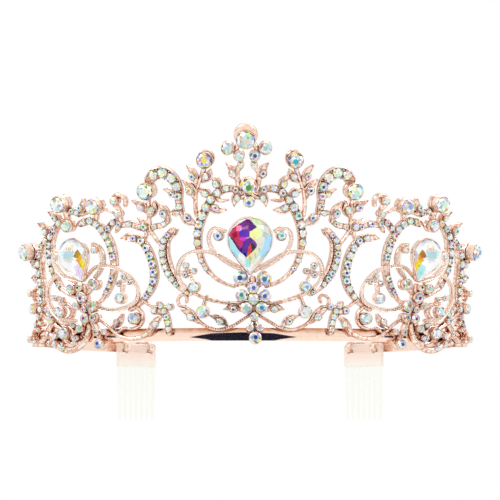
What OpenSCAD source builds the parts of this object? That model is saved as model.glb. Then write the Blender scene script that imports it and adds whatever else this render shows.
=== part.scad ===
// Bridal tiara: a rose gold headband with an openwork crown of castings, set with cut stones.
// The ring lies on the XY plane, the front faces -Y and the crown rises along +Z. All sizes are mm.
// Crown pieces are laid out flat: s runs along the ring from the front, h rises from the ring's lower edge.

/* [Ring] */
// Radius of the front arc of the ring
front_r = 95; // [90:1:105]
// Half angle of the front arc, in degrees
front_half = 32; // [30:0.5:34]
// Radius of each shoulder arc
shoulder_r = 28; // [26:0.5:31]
// Radius of each rear arc
rear_r = 100; // [94:1:108]
// Turn of each rear arc past the widest point, in degrees
rear_turn = 46; // [43:1:49]
// Outward lean of the crown, which grows with height, per mm
flare = 0.0033; // [0.0025:0.0001:0.004]

/* [Headband] */
// Rise of the strip's plane from the front to its ends, in degrees
band_rise = 1.2; // [0.6:0.1:1.4]
// Height of the strip
band_h = 3.6; // [3:0.1:4.5]
// Thickness of the strip
band_t = 1.2; // [0.8:0.1:1.6]

/* [Castings] */
// Thickness of the scrolls that stand on the headband
cast_t = 1.8; // [1.4:0.1:2.4]
// Thickness of the wires that lie over the scrolls
wire_t = 1; // [0.8:0.1:1.4]
// Solder line between two soldered pieces
solder = 0.05; // [0.03:0.01:0.1]
// Sideways lean of the centre column, in degrees
column_lean = 2.5; // [0:0.5:4]
// Width of a leaf's root as a share of its belly
leaf_root = 0.5; // [0.3:0.05:0.7]
// Width of a leaf's tip
leaf_tip_d = 0.35; // [0.2:0.05:0.5]

/* [Small stones] */
// Metal left beside the stones of a row
row_rim = 0.12; // [0.1:0.01:0.2]
// Least room between two stones of a row
row_gap = 0.1; // [0.08:0.02:0.3]
// Glue line under and around a stone
glue = 0.05; // [0.03:0.01:0.08]
// Height of a small stone as a share of its width
small_rise = 0.36; // [0.3:0.02:0.45]

/* [Round stones] */
// Width of the round stone at the top of the crest
crest_stone = 5.1; // [4.6:0.1:5.4]
// Width of the large round stones on stems
large_stone = 4.5; // [4:0.1:4.5]
// Height of the deep cups that hold the largest stones
deep_cup = 2.6; // [2:0.1:3.4]
// Height of the shallow cups
low_cup = 1.1; // [0.9:0.1:1.6]
// Wall of a cup
cup_wall = 0.15; // [0.1:0.01:0.18]
// Mean wall of the hooded cup at the top of the crest
crest_wall = 0.75; // [0.65:0.05:0.85]
// Rise of the hood above the middle of the crest's stone
crest_hood = 0.5; // [0.3:0.05:0.55]
// Floor of a cup
cup_floor = 0.4; // [0.3:0.05:0.6]
// Forward tip of the cup at the top of the crest, in degrees
crest_tip = 12; // [6:1:16]

/* [Pear stones] */
// Width of the centre pear stone
pear_w = 12; // [11:0.2:12.6]
// Length of the centre pear stone
pear_l = 15.6; // [14.6:0.2:16.2]
// Width of each side pear stone
side_pear_w = 9.2; // [8.6:0.2:9.6]
// Length of each side pear stone
side_pear_l = 12; // [11.2:0.2:12.4]
// Turn of the side pear stones, in degrees
side_pear_turn = 18; // [14:1:22]
// Height of the girdle above a pear setting's floor
pear_seat = 1.2; // [0.9:0.1:1.6]
// Height of a pear stone's crown above its girdle
pear_crown = 2.2; // [1.6:0.1:2.6]
// Wall of a pear setting
pear_wall = 0.35; // [0.25:0.05:0.45]
// Floor of a pear setting
pear_floor = 0.4; // [0.3:0.1:0.7]
// Room between the overlaid wires and a pear setting
pear_room = 0.3; // [0.25:0.05:0.5]

/* [Combs] */
// Width of a comb
comb_w = 17; // [16:0.5:18.5]
// Thickness of a comb's plate and teeth
comb_t = 1.3; // [1:0.1:1.5]
// Depth of the plate from the spine's middle to the roots of the teeth
comb_plate = 6.5; // [5:0.5:9]
// Length of the teeth
tooth_l = 17; // [12:1:20]
// Number of teeth
tooth_count = 7; // [5:1:8]
// Width of a tooth at its root
tooth_root = 1.7; // [1.3:0.1:1.8]
// Width of a tooth at its tip
tooth_tip = 0.9; // [0.6:0.1:1.2]
// Diameter of the comb's round spine
spine_d = 2.2; // [1.8:0.1:2.6]
// Height of the spine's middle above the ring's lower edge
spine_z = 1.8; // [1.6:0.1:2]
// Room round the spine in its loops, on the radius
spine_fit = 0.05; // [0.02:0.01:0.09]
// Wall of a loop round the spine
loop_wall = 0.7; // [0.5:0.05:0.9]
// Width of a loop along the spine
loop_w = 2; // [1.6:0.1:2.6]
// Distance of each loop from the comb's middle
loop_y = 5.75; // [5:0.25:6]
// Room beside a loop in the comb's notch
notch_room = 0.3; // [0.2:0.05:0.5]
// Bare end of the headband past the comb
band_end = 0.8; // [0.4:0.1:1.5]

/* [Hidden] */
$fn = 48;
ROSE = "#e8b49a";
CLEAR = "#e6eef2";
PLASTIC = "#f4f4f2";

// Longest straight run of a scroll's outline
curve_run = 3;
// Step between the faces of pieces that cross in one casting
face_step = 0.02;
// Share of the next run that a run reaches into
tongue_run = 0.2;
// Sides of a leaf's belly and of a round pad, which are part of the cast outline
leaf_sides = 8;
leaf_end_sides = 4;
pad_sides = 8;
// Place of a leaf's belly between its root and its tip
belly_at = 0.45;
// Points round the round end of a pear
pear_sides = 24;
// Table of a pear stone as a share of its outline, and the thin slab that makes it
pear_table = 0.55;
table_t = 0.1;
// Table radius of a small stone as a share of its width, and the upright edge as a share of its height
small_table = 0.28;
small_edge = 0.33;
// A round stone, as shares of its width: foot radius, girdle below the cup's rim, edge, table radius and crown
round_foot = 0.25;
girdle_drop = 0.12;
girdle_edge = 0.1;
round_table = 0.3;
round_rise = 0.34;
// Least height of a round stone's lower cone
least_cone = 0.1;
// Foot of a cup as a share of its outer radius
cup_foot = 0.85;
// Room between a pear's setting and the round stones beside it
pear_side_room = 0.3;
// Overrun of a cut past the face it opens, and the reach of a tooth's root into its plate
overrun = 1;
tooth_sink = 0.2;
// Room between a stone and a wire that passes over its casting
stone_room = 0.1;
// Height at which the leaning centre column crosses the middle
lean_h = 33;
// Steps of the strip's curve on each half
band_steps = 90;

// Levels in front of the crown's back face
wire_d = cast_t + solder;
wire_top = wire_d + wire_t;
pear_d = wire_top + pear_room;

// Where the arcs of the ring begin, measured along the ring
front_len = front_r * front_half * PI / 180;
shoulder_len = shoulder_r * (90 - front_half) * PI / 180;
ring_len = 2 * (front_len + shoulder_len + rear_r * rear_turn * PI / 180);
ring_front = front_r * (1 - cos(front_half)) + shoulder_r * cos(front_half);
ring_half_w = front_r * sin(front_half) + shoulder_r * (1 - sin(front_half));
front_center = [0, front_r - ring_front];
shoulder_center = [ring_half_w - shoulder_r, 0];
rear_center = [ring_half_w - rear_r, 0];

// The comb hangs from a chord of the rear arc
rear_in_r = rear_r - solder - band_t;
comb_turn = rear_turn - asin((comb_w / 2 + band_end) / rear_in_r);
loop_r = spine_d / 2 + spine_fit + loop_wall;
spine_x = sqrt(pow(rear_in_r, 2) - pow(loop_y + loop_w / 2, 2)) - solder - loop_r;

// Each scroll is a list of points, its width at the start, middle and end, and its number of stones.
// Each leaf is its root, its tip, its width and the width of its stone.
// Each round is a place, a stone width and the height of its cup.

frame_scrolls = [
    [[[2.6, 40.5], [4.2, 41.5], [6.4, 41.5], [8.6, 40.2], [10.4, 38], [11.7, 35.7], [12.8, 33.4],
      [13.5, 30.8], [13.8, 28], [13.6, 25.2], [13, 22.6], [12.1, 20.6], [11, 18.9]], [1.8, 2.5, 1.3], 12],
    [[[11.4, 19.6], [9.4, 17.4], [7, 15.9], [4.4, 15]], [1.3, 1.2, 1.2], 0]
];
frame_leaves = [
    [[11.2, 37], [6, 35.8], 2, 1.7],
    [[10, 39.4], [5.3, 38.5], 1.2, 0],
    [[2.6, 40.9], [4.1, 36.7], 2, 1.7]
];
// The middle of the crest's top stone, and how far below it the crest's arms end
crest_top = [0, 55.6];
crest_hold = 1.5;
crest_scrolls = [
    [[[2.2, 41], [2.6, 43.6], [3, 45.6], [1.8, 47.8], [1.9, 50.1], [2.6, 51.8],
      [1.4, crest_top[1] - crest_hold]],
     [1.6, 1.8, 1.4], 0],
    [[[2, 50.8], [3.4, 51.7], [4.6, 52.4]], [1.6, 1.6, 2], 0],
    [[[0, 41], [0.8, 39.6], [2.8, 39]], [1.6, 1.6, 1.2], 0]
];
crest_leaves = [[[2.7, 43.4], [5.3, 48.4], 2.2, 1.9]];
crest_rounds = [
    [4.6, 52.4, 3.2, low_cup], [1.95, 50.4, 2.4, low_cup], [1.65, 47.8, 1.5, low_cup]
];
column_rounds = [
    [0, 42.3, large_stone, low_cup], [0, 38.1, 3, low_cup], [0, 14.6, 2.8, low_cup],
    [0, 11.4, 2.6, low_cup], [0, 6.6, 1.9, low_cup], [0, 0.6, 2.7, low_cup]
];

cradle_scrolls = [
    [[[20.6, 30.2], [22.4, 27.8], [22.9, 25.2], [22.8, 23], [22.2, 20.3], [20.8, 17.5], [19, 15.3],
      [16.4, 13.3]], [2.2, 3.1, 2], 0]
];
// The bar that joins the cradle's halves
bar_scrolls = [
    [[[-17.2, 14.4], [-13, 12.2], [-9, 10.9], [-4.6, 10.4], [0, 10.3], [4.6, 10.4], [9, 10.9], [13, 12.2],
      [17.2, 14.4]], [1.2, 1.2, 1.2], 0]
];
// The cradle's stones follow its outer edge
cradle_rows = [
    [[[21.2, 30], [22.9, 28], [23.5, 25.6], [23.4, 23], [22.8, 20.4], [21.6, 17.9], [19.9, 15.7],
      [17.9, 13.9], [16.2, 12.9]], [1.6, 2.1, 1.2], 11]
];
cradle_leaves = [[[21.8, 28.9], [19, 30.8], 1.2, 0]];
// Rounds that hang from the cradle on short stems
drop_scrolls = [[[[13.8, 8], [13.4, 10.4], [12.6, 12.2]], [1.4, 1.2, 1], 0]];
drop_rounds = [[13.8, 8, 3.1, low_cup]];

// The centre column's stem
stem_scrolls = [[[[0, 17], [0, 12], [0, 6], [0, 0.8]], [2, 2.4, 1.6], 0]];
foot_scrolls = [
    [[[0, 14.4], [1.8, 15.6], [3.1, 17.2], [4.2, 15.4]], [1.6, 1.8, 1.4], 0],
    [[[0, 11.6], [3.1, 12.4]], [1.8, 1.8, 1.8], 0],
    [[[0, 10], [2, 8.9], [3.8, 8.5]], [1.6, 1.8, 1.2], 0],
    [[[0, 5], [1.35, 3.5]], [1.4, 1.4, 1.4], 0],
    [[[0.6, 7.4], [3.8, 5.4], [6.6, 3.8], [9.8, 3.1], [12.9, 3.9], [15.2, 5.6], [16.6, 7.8], [18.6, 9.4],
      [20.2, 9.8], [20.6, 11.6], [19.2, 12.8], [18, 12], [18.3, 10.8]], [0.9, 1, 0.9], 0]
];
foot_leaves = [
    [[3.4, 8.6], [8.2, 8.6], 2, 1.7],
    [[7.2, 3.8], [12.2, 7], 1.9, 1.6],
    [[15.4, 5], [19.8, 8.6], 2.1, 1.8]
];
foot_rounds = [
    [3.1, 17.2, 3.3, low_cup], [3.1, 12.4, 2.9, low_cup], [2, 8.9, 2.8, low_cup], [1.35, 3.5, 1.6, low_cup]
];

spray_scrolls = [
    [[[11, 49], [12, 45.8], [13.1, 43], [13.9, 40.2], [14.2, 37.4], [14, 34.6]], [1.6, 1, 1.3], 0]
];
spray_leaves = [
    [[12, 43.4], [9.9, 46.9], 2.1, 1.8],
    [[7.7, 41], [9.9, 45.2], 2, 1.7],
    [[9.9, 39.4], [13.7, 41.4], 2, 1.7],
    [[13.7, 42.6], [15.9, 48], 1.9, 1.6],
    [[14.2, 38.8], [17.2, 44.2], 2.2, 1.9]
];
spray_rounds = [[11, 49.6, large_stone, deep_cup]];

plume_scrolls = [
    [[[25.6, 44.6], [23.9, 46.2], [21.5, 46.1], [19.4, 44.2], [18.4, 41.4], [18.5, 38.3], [18, 35.6]],
     [3, 2.6, 1.7], 6],
    [[[26.4, 40.6], [26.8, 36.6], [26.8, 33.6], [26.6, 30.8], [25.2, 28.2], [23.4, 26]], [1.2, 1.2, 1], 0],
    [[[21.6, 33.2], [23.3, 32], [25.3, 31.7], [26.6, 31]], [1.5, 1.7, 1.5], 2],
    [[[25, 44.2], [26.2, 42.4]], [1.6, 1.6, 1.6], 0]
];
plume_leaves = [
    [[18.6, 39.1], [22.2, 41.8], 1.8, 1.4],
    [[18.4, 35.6], [13.7, 31.8], 2.2, 1.9],
    [[17.8, 35.4], [21.4, 34.8], 1.6, 1.4],
    [[26.6, 34.2], [25, 38.7], 2.1, 1.8],
    [[27, 35.4], [31, 39], 2.1, 1.8],
    [[21.6, 32.6], [24.2, 38.4], 2.1, 1.8],
    [[26.8, 29.8], [29.8, 34.2], 2.2, 1.8]
];
plume_rounds = [[26.5, 41.6, large_stone, deep_cup]];

crescent_scrolls = [
    [[[32.6, 28.8], [29.9, 28.4], [27.9, 26], [26.8, 23.4], [26.2, 20.8], [26, 18.2], [26.5, 15.8],
      [27.7, 13.6], [29.2, 11.8], [31, 10.3], [33.2, 9]], [1.9, 2.4, 1.2], 11],
    [[[28.4, 31.2], [30.4, 32], [32.4, 32.7], [34.4, 32.5], [36.4, 33.5]], [1.6, 1.8, 1.5], 3],
    [[[33.1, 37.9], [33, 39.4], [34.4, 40.6], [36, 40.1], [36.3, 38.5], [35.2, 36.8], [35, 34.8],
      [34.6, 32.8]], [1.2, 1.8, 1.2], 0],
    [[[35.2, 35.4], [37.2, 36.2], [39.6, 37.4]], [1, 0.9, 1.2], 0],
    [[[28.8, 31.4], [27.8, 29.8], [28.8, 27.8]], [1.2, 1.1, 1.2], 0]
];
crescent_leaves = [
    [[31, 28.5], [35, 28.8], 2, 0],
    [[34.6, 32.8], [36.4, 30.4], 1.2, 0]
];
crescent_rounds = [[35.7, 39.2, 2, low_cup], [35, 35.6, 1.8, low_cup]];

side_scrolls = [
    [[[46.6, 33.4], [45, 34], [43, 33.9], [41, 32.2], [39.5, 29.8], [38.4, 27.4], [37.8, 24.8], [37.6, 22.2],
      [37.9, 19.6], [38.5, 17.4], [39.5, 15.2], [40.8, 13.2]], [1.9, 2.4, 1.5], 13],
    [[[40.8, 13.2], [42.4, 11.6], [44.4, 10.6]], [1.2, 1.1, 1.4], 0],
    [[[36, 33.7], [37.5, 32.9], [39.2, 31]], [1.6, 1.7, 1.6], 2],
    [[[42.2, 34], [41.6, 36.4], [41.3, 38]], [1.6, 1.4, 1.6], 0],
    [[[42.6, 37.2], [45, 36.2], [47, 36.1]], [1.1, 1, 1.2], 0],
    [[[46.8, 36], [48.2, 37], [49.8, 37]], [1.6, 1.7, 1.6], 2],
    [[[49.8, 37], [51, 36.4], [51.6, 39]], [1.5, 1.8, 1.8], 0],
    [[[51.4, 37], [50.8, 34.6], [50.6, 33.1], [52.4, 34.6]], [1.8, 1.8, 1.6], 0],
    [[[52.4, 34.6], [54.4, 33.4], [56.2, 31.2], [57.4, 28.6], [57.9, 25.8], [57.8, 23], [57.3, 20.2],
      [56.4, 17.8], [55, 15.6]], [1.7, 2.3, 1.3], 9],
    [[[55, 15.6], [53, 14.2], [50.6, 13.2], [48, 12.6]], [1.3, 1.1, 1.4], 0]
];
side_leaves = [
    [[45.4, 33.8], [48.2, 32.8], 1.6, 0],
    [[47.1, 35.8], [45.2, 40.2], 2, 1.5],
    [[53.4, 34], [56.4, 37.4], 1.8, 1.5],
    [[56.8, 30.2], [60.6, 34.6], 2.2, 1.9]
];
side_rounds = [
    [41.3, 38.1, 4.2, deep_cup], [51.6, 39.4, large_stone, deep_cup], [50.6, 33.1, 3.3, low_cup]
];

side_foot_scrolls = [
    [[[47.6, 15.8], [47.2, 12.6], [46.2, 9.4], [45, 6], [43.4, 2.8], [42.4, -0.3]], [2, 2.2, 1.5], 0],
    [[[47.2, 13.4], [45.4, 15], [43.7, 16.4]], [1.4, 1.4, 1.6], 0],
    [[[47.4, 14.4], [49, 15.5], [50.9, 15.6]], [1.4, 1.6, 1.6], 0],
    [[[46.6, 10.6], [44.4, 10.4]], [1.6, 1.6, 1.6], 0],
    [[[46.8, 11.4], [49.5, 10.5]], [1.4, 1.4, 1.4], 0],
    [[[45.2, 6.8], [46.7, 6.8], [48.4, 4.1]], [1.6, 1.6, 1.4], 0],
    [[[43.6, 3.2], [40.7, 2.9]], [1.2, 1.2, 1.2], 0]
];
side_foot_rounds = [
    [43.7, 16.4, 3, low_cup], [48.3, 15.6, 1.9, low_cup], [50.9, 15.4, 2.6, low_cup],
    [47.6, 12.7, 2.9, low_cup], [44.4, 10.4, 3.1, low_cup], [49.5, 10.5, 2, low_cup],
    [47, 9.3, 1.6, low_cup], [43.9, 7, 2.4, low_cup], [46.7, 6.8, 2.4, low_cup], [48.4, 4.1, 2, low_cup],
    [43.2, 2.8, 1.6, low_cup], [40.7, 2.9, 1.5, low_cup], [42.3, -0.5, 2.6, low_cup]
];

end_scrolls = [
    [[[57.6, 30.4], [60.4, 28.2], [62, 25.4], [62.8, 22.4], [62.9, 19.2], [62.6, 16], [62.8, 12.8],
      [63.8, 9.8], [65.6, 7.2], [67.4, 5]], [1.7, 2.3, 1.4], 11],
    [[[61.4, 26.4], [63.4, 26.8], [65.2, 27]], [1.6, 1.6, 2], 0],
    [[[62.8, 15], [65, 16.6], [67.2, 15.8], [67.8, 13.6], [66.4, 12.4]], [1, 1.1, 1], 0],
    [[[63.4, 10.4], [66.2, 10.6]], [1.4, 1.4, 1.4], 0],
    [[[67.4, 5], [69.4, 3.6], [69.2, 1.4], [67, 0.5], [64.6, 1], [62.4, 2.2]], [1.4, 1.1, 1], 0]
];
end_leaves = [
    [[62.8, 22.2], [67.2, 24.2], 2, 1.7],
    [[63, 18.4], [67.4, 19.6], 2, 1.7]
];
end_rounds = [
    [65.2, 27, large_stone, deep_cup], [66.3, 10.6, 2.7, low_cup], [67.5, 15.2, 1.7, low_cup],
    [69.2, 1.9, 1.7, low_cup], [65.8, 0.6, 1.7, low_cup]
];

hem_scrolls = [
    [[[22.2, 2.4], [22.4, 5], [23, 7.4], [24, 9.2], [24.9, 10.4]], [1.7, 1.8, 1.5], 5],
    [[[23.4, 9.2], [21.9, 9.5]], [1.4, 1.5, 1.6], 0],
    [[[23.6, 8], [26.2, 8.5]], [1.4, 1.8, 2.2], 0],
    [[[24.6, 9.6], [27.2, 9.8], [29.4, 11.4]], [1, 0.9, 1], 0],
    [[[25.6, 5.2], [27.6, 2.8], [30.6, 1.2], [34, 0.9], [37.4, 2.2], [40.2, 4.6], [43, 6.6]], [1, 1.1, 1], 0],
    [[[31.6, 9.8], [30, 8], [29.8, 5.8], [31, 4.2], [33, 3.6], [35.4, 3.8], [37.2, 2.4]], [1.1, 1, 0.9], 0],
    [[[30, 6.6], [31.8, 6.4]], [1.2, 1.4, 1.6], 0],
    [[[46.2, 4.8], [47.2, 1.4], [49.6, -1], [52.8, -1.9], [56.2, -1], [58.6, 1.2], [60.8, 3.4], [63.4, 3]],
     [1, 1.1, 1], 0],
    [[[49.4, 4.4], [51.4, 2.6], [53.7, 2.8], [57, 5], [60.4, 7.2], [63.4, 9]], [1.1, 1.4, 1.1], 0],
    [[[51.4, 2.6], [50.2, -0.5]], [1, 1, 1], 0]
];
hem_leaves = [
    [[24.4, 7], [28, 1.4], 1.9, 1.6],
    [[38.8, 4], [35.6, 7.8], 1.8, 1.5],
    [[57, 5.4], [61.4, 8.2], 2, 1.7],
    [[55.8, 3.4], [59.6, 0.4], 1.8, 1.5]
];
hem_pads = [
    [21.9, 9.5, 1.7], [26.2, 8.5, 1.9], [50.7, 1, 1.5], [54.4, -1.5, 1.5], [57.6, 0.2, 1.4], [60.4, 3, 1.4]
];
hem_rounds = [[31.8, 6.4, 3.2, low_cup], [53.7, 2.8, 3, low_cup]];

// The round stones beside a pear stand clear of its setting
beside_pear = pear_wall + glue + pear_side_room;
curl_stone = 2.7;
curl_s = pear_w / 2 + beside_pear + curl_stone / 2;
curl_h = 29;
curl_scrolls = [
    [[[curl_s - 1.6, curl_h + 1.2], [curl_s, curl_h + 2], [9.6, 30.7], [10.7, 29], [10.5, 26.6], [9.2, 24.2],
      [6.8, 22.2], [4.6, 20.8], [3, 20]], [1, 1.1, 1.2], 0],
    [[[2.8, 20.4], [5.4, 21.9], [8.6, 23.8], [12, 24.8], [15.4, 24.4], [18, 22.6], [19.2, 19.8], [18.9, 17],
      [17.4, 14.6]], [1.1, 1.1, 1.1], 0],
    [[[19, 18.9], [17.2, 18.8], [15, 19.3]], [1.1, 1.5, 1.5], 0],
    [[[17, 21], [16.6, 19]], [1.5, 1.3, 1.3], 0],
    [[[16.4, 18.8], [15.4, 16.8], [14.7, 14.9]], [1.2, 1, 1.4], 0]
];
curl_pads = [[14.9, 19.3, 1.6], [17, 20.9, 1.6], [17.1, 18.3, 1.6]];
curl_rounds = [[curl_s, curl_h, curl_stone, low_cup], [14.7, 14.9, 3, low_cup]];

// The side pear's round end, with the round stones on either side of it
side_pear_at = [48.3, 24.8];
side_curl_stone = 1.6;
side_curl_room = side_pear_w / 2 + beside_pear + side_curl_stone / 2;
side_curl_in = side_pear_at[0] - side_curl_room;
side_curl_out = side_pear_at[0] + side_curl_room;
side_curl_scrolls = [
    [[[side_curl_in, 26], [43.2, 27.4], [41.8, 27], [40.7, 25.2], [40.5, 22.8], [41.4, 20.4], [42.8, 18.6]],
     [1.2, 1.1, 1], 0],
    [[[45, 19.4], [43, 21], [40, 21.5], [36.4, 20.7], [33.2, 18.6], [31.1, 15.8], [30.4, 13], [31.6, 10.8],
      [34.8, 9.4], [38, 8.9], [40.6, 9.3], [42, 9.7]], [1, 1.1, 1.1], 0],
    [[[32, 17], [34.4, 16.9], [36, 16.3]], [1.1, 1.5, 1.5], 0],
    [[[34.4, 18.2], [34.6, 16.8], [35, 14.4], [35.2, 12.2]], [1.5, 1.2, 1.4], 0],
    [[[side_curl_out, 24.9], [55, 26], [55.8, 24.4], [55.4, 22], [54, 20.2], [51.8, 18.4], [49.6, 17.3]],
     [1.2, 1.1, 1], 0],
    [[[47.4, 17.6], [50.4, 18.4], [53.6, 19.2], [56.6, 18.6], [58.6, 16.4], [59, 13.2], [57.8, 10.2],
      [55.6, 7.6], [52.6, 6.5], [50, 6.4]], [1, 1.1, 1.1], 0],
    [[[58.8, 13.4], [56, 13], [53.9, 12.4]], [1.2, 1.5, 1.4], 0],
    [[[57.6, 10], [54.2, 9]], [1.2, 1.4, 1.6], 0]
];
side_curl_pads = [[32.8, 16.7, 1.4], [34.4, 18.3, 1.5], [35.9, 16.3, 1.5], [56, 13, 1.4], [53.9, 12.4, 1.3]];
side_curl_rounds = [
    [side_curl_in, 26, side_curl_stone, low_cup], [side_curl_out, 24.9, side_curl_stone, low_cup],
    [35.2, 12.2, 2.9, low_cup], [54.2, 9, 2.8, low_cup]
];

// Heading of the ring at s, in degrees from the front
function heading(s) =
    s <= front_len ? s / front_r * 180 / PI
    : s <= front_len + shoulder_len ? front_half + (s - front_len) / shoulder_r * 180 / PI
    : 90 + (s - front_len - shoulder_len) / rear_r * 180 / PI;

// Point of the ring at s
function ring_at(s) =
    let (a = heading(abs(s)), dir = [sin(a), -cos(a)])
    let (p = a <= front_half ? front_center + front_r * dir
        : a <= 90 ? shoulder_center + shoulder_r * dir
        : rear_center + rear_r * dir)
    [sign_of(s) * p[0], p[1]];
function strip_point(s, depth) =
    let (a = heading(abs(s))) ring_at(s) - depth * [sign_of(s) * sin(a), -cos(a)];
function sign_of(s) = s < 0 ? -1 : 1;

// Matrix that stands a piece on the crown at s and h: x along the ring, y up the crown, z outward
function stand(s, h) =
    let (a = sign_of(s) * heading(abs(s)), p = ring_at(s), up = max(h, 0))
    let (lean = atan(2 * flare * up), out = [sin(a), -cos(a), 0], rise = [0, 0, 1])
    let (n = out * cos(lean) - rise * sin(lean), v = out * sin(lean) + rise * cos(lean))
    let (o = [p[0], p[1], h] + out * flare * up * up)
    [[cos(a), v[0], n[0], o[0]], [sin(a), v[1], n[1], o[1]], [0, v[2], n[2], o[2]], [0, 0, 0, 1]];

// Point in front of the crown, from its place in a standing frame
function in_frame(m, x, y, z) = [for (i = [0:2]) m[i][0] * x + m[i][1] * y + m[i][2] * z + m[i][3]];

// Smooth curve through points
function curve_point(a, b, c, d, t) =
    0.5 * (2 * b + (c - a) * t + (2 * a - 5 * b + 4 * c - d) * t * t + (3 * b - a - 3 * c + d) * t * t * t);
function curve(p) =
    let (n = len(p) - 1)
    concat(
        [for (i = [0:n - 1]) let (steps = max(1, ceil(norm(p[i + 1] - p[i]) / curve_run)))
            for (k = [0:steps - 1])
                curve_point(p[max(i - 1, 0)], p[i], p[i + 1], p[min(i + 2, n)], k / steps)],
        [p[n]]
    );
function width_at(w, t) = t < 0.5 ? w[0] + (w[1] - w[0]) * 2 * t : w[1] + (w[2] - w[1]) * (2 * t - 1);

// Running length along a curve, and the point at a given length
function run_lengths(p, i = 0, sum = 0, out = []) =
    i == len(p) ? out
    : let (next = i == 0 ? 0 : sum + norm(p[i] - p[i - 1])) run_lengths(p, i + 1, next, concat(out, [next]));
function point_along(p, run, at, i = 1) =
    i == len(p) - 1 || run[i] >= at
    ? p[i - 1] + (p[i] - p[i - 1]) * (at - run[i - 1]) / (run[i] - run[i - 1])
    : point_along(p, run, at, i + 1);

// Stones in a row along a scroll: place and width
function row_stones(scroll) =
    let (p = curve(scroll[0]), run = run_lengths(p), total = run[len(run) - 1], n = scroll[2])
    n == 0 ? []
    : [for (i = [0:n - 1])
        let (t = (i + 0.5) / n, q = point_along(p, run, t * total))
        [q[0], q[1], min(width_at(scroll[1], t) - 2 * row_rim, total / n - row_gap)]];
function leaf_belly(leaf) = leaf[0] + belly_at * (leaf[1] - leaf[0]);
function leaf_stones(leaves) =
    [for (leaf = leaves) if (leaf[3] > 0) let (q = leaf_belly(leaf)) [q[0], q[1], leaf[3]]];
function all_stones(scrolls, leaves) =
    in_clear(concat([for (s = scrolls) each row_stones(s)], leaf_stones(leaves)));

// Stones are left out where a wire or its stones lie over them
over_wires = [for (s = concat(curl_scrolls, side_curl_scrolls)) [curve(s[0]), max(s[1])]];
over_pads = concat(
    [for (q = concat(curl_pads, side_curl_pads)) [q[0], q[1], q[2] + 2 * row_rim]],
    [for (r = concat(curl_rounds, side_curl_rounds)) [r[0], r[1], cup_d(r[2], cup_wall)]]
);
function to_run(p, a, b) =
    let (t = (p - a) * (b - a) / ((b - a) * (b - a))) norm(p - a - (b - a) * min(1, max(0, t)));
function to_wire(p, wire) =
    min([for (i = [1:len(wire[0]) - 1]) to_run(p, wire[0][i - 1], wire[0][i])]) - wire[1] / 2;
function clear_of(q) =
    let (p = [abs(q[0]), q[1]])
    min(concat([for (w = over_wires) to_wire(p, w)], [for (o = over_pads) norm(p - [o[0], o[1]]) - o[2] / 2]))
    > q[2] / 2 + stone_room;
function in_clear(list) = [for (q = list) if (clear_of(q)) q];

// The centre column is set with a lean; side is 1 for the right half and -1 for the left
function leaned(p, side) = [side * p[0] - tan(column_lean) * (p[1] - lean_h), p[1]];
function lean_scrolls(list, side) = [for (r = list) [[for (p = r[0]) leaned(p, side)], r[1], r[2]]];
function lean_leaves(list, side) = [for (l = list) [leaned(l[0], side), leaned(l[1], side), l[2], l[3]]];
function lean_rounds(list, side) =
    [for (r = list) let (q = leaned([r[0], r[1]], side)) [q[0], q[1], r[2], r[3]]];
column_set = concat(
    lean_rounds(column_rounds, 1),
    lean_rounds(concat(crest_rounds, foot_rounds, drop_rounds), 1),
    lean_rounds(concat(crest_rounds, foot_rounds, drop_rounds), -1)
);
crest_at = leaned(crest_top, 1);
half_rounds = concat(
    spray_rounds, plume_rounds, crescent_rounds, side_rounds, side_foot_rounds, end_rounds, hem_rounds
);

// One scroll: flat front, from level d to level d + t, with each run reaching into the next
run_faces = [
    [0, 1, 2, 3], [0, 4, 5, 1], [1, 5, 6, 2], [2, 6, 7, 3], [3, 7, 4, 0],
    [5, 4, 8], [6, 5, 8], [7, 6, 8], [4, 7, 8]
];
function middle(q) = (q[0] + q[1] + q[2] + q[3]) / 4;
module scroll(points, widths, d, t) {
    p = curve(points);
    n = len(p) - 1;
    corners = [for (i = [0:n])
        let (way = p[min(i + 1, n)] - p[max(i - 1, 0)], m = stand(p[i][0], p[i][1]))
        let (across = [-way[1], way[0]] / norm(way) * width_at(widths, i / n) / 2)
        [for (c = [[-1, 0], [1, 0], [1, 1], [-1, 1]])
            in_frame(m, across[0] * c[0], across[1] * c[0], d + t * c[1])]];
    for (i = [0:n - 1]) {
        last = middle(corners[i + 1]);
        tongue = last + tongue_run * (middle(corners[min(i + 2, n)]) - last);
        hull() polyhedron(concat(corners[i], corners[i + 1], [tongue]), run_faces);
    }
}

// One pointed leaf with a belly that takes a stone
module leaf_part(at, w, sides, d, t) {
    multmatrix(stand(at[0], at[1])) translate([0, 0, d]) cylinder(d = w, h = t, $fn = sides);
}
module leaf(root, tip, w, d, t) {
    hull() {
        leaf_part(root, w * leaf_root, leaf_end_sides, d, t);
        leaf_part(leaf_belly([root, tip]), w, leaf_sides, d, t);
        leaf_part(tip, leaf_tip_d, leaf_end_sides, d, t);
    }
}

// Round pad under a cup or a stone
module pad(s, h, w, d, t) {
    hull() multmatrix(stand(s, h)) translate([0, 0, d]) cylinder(d = w, h = t, $fn = pad_sides);
}
function cup_d(w, wall) = w + 2 * glue + 2 * wall;

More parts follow.
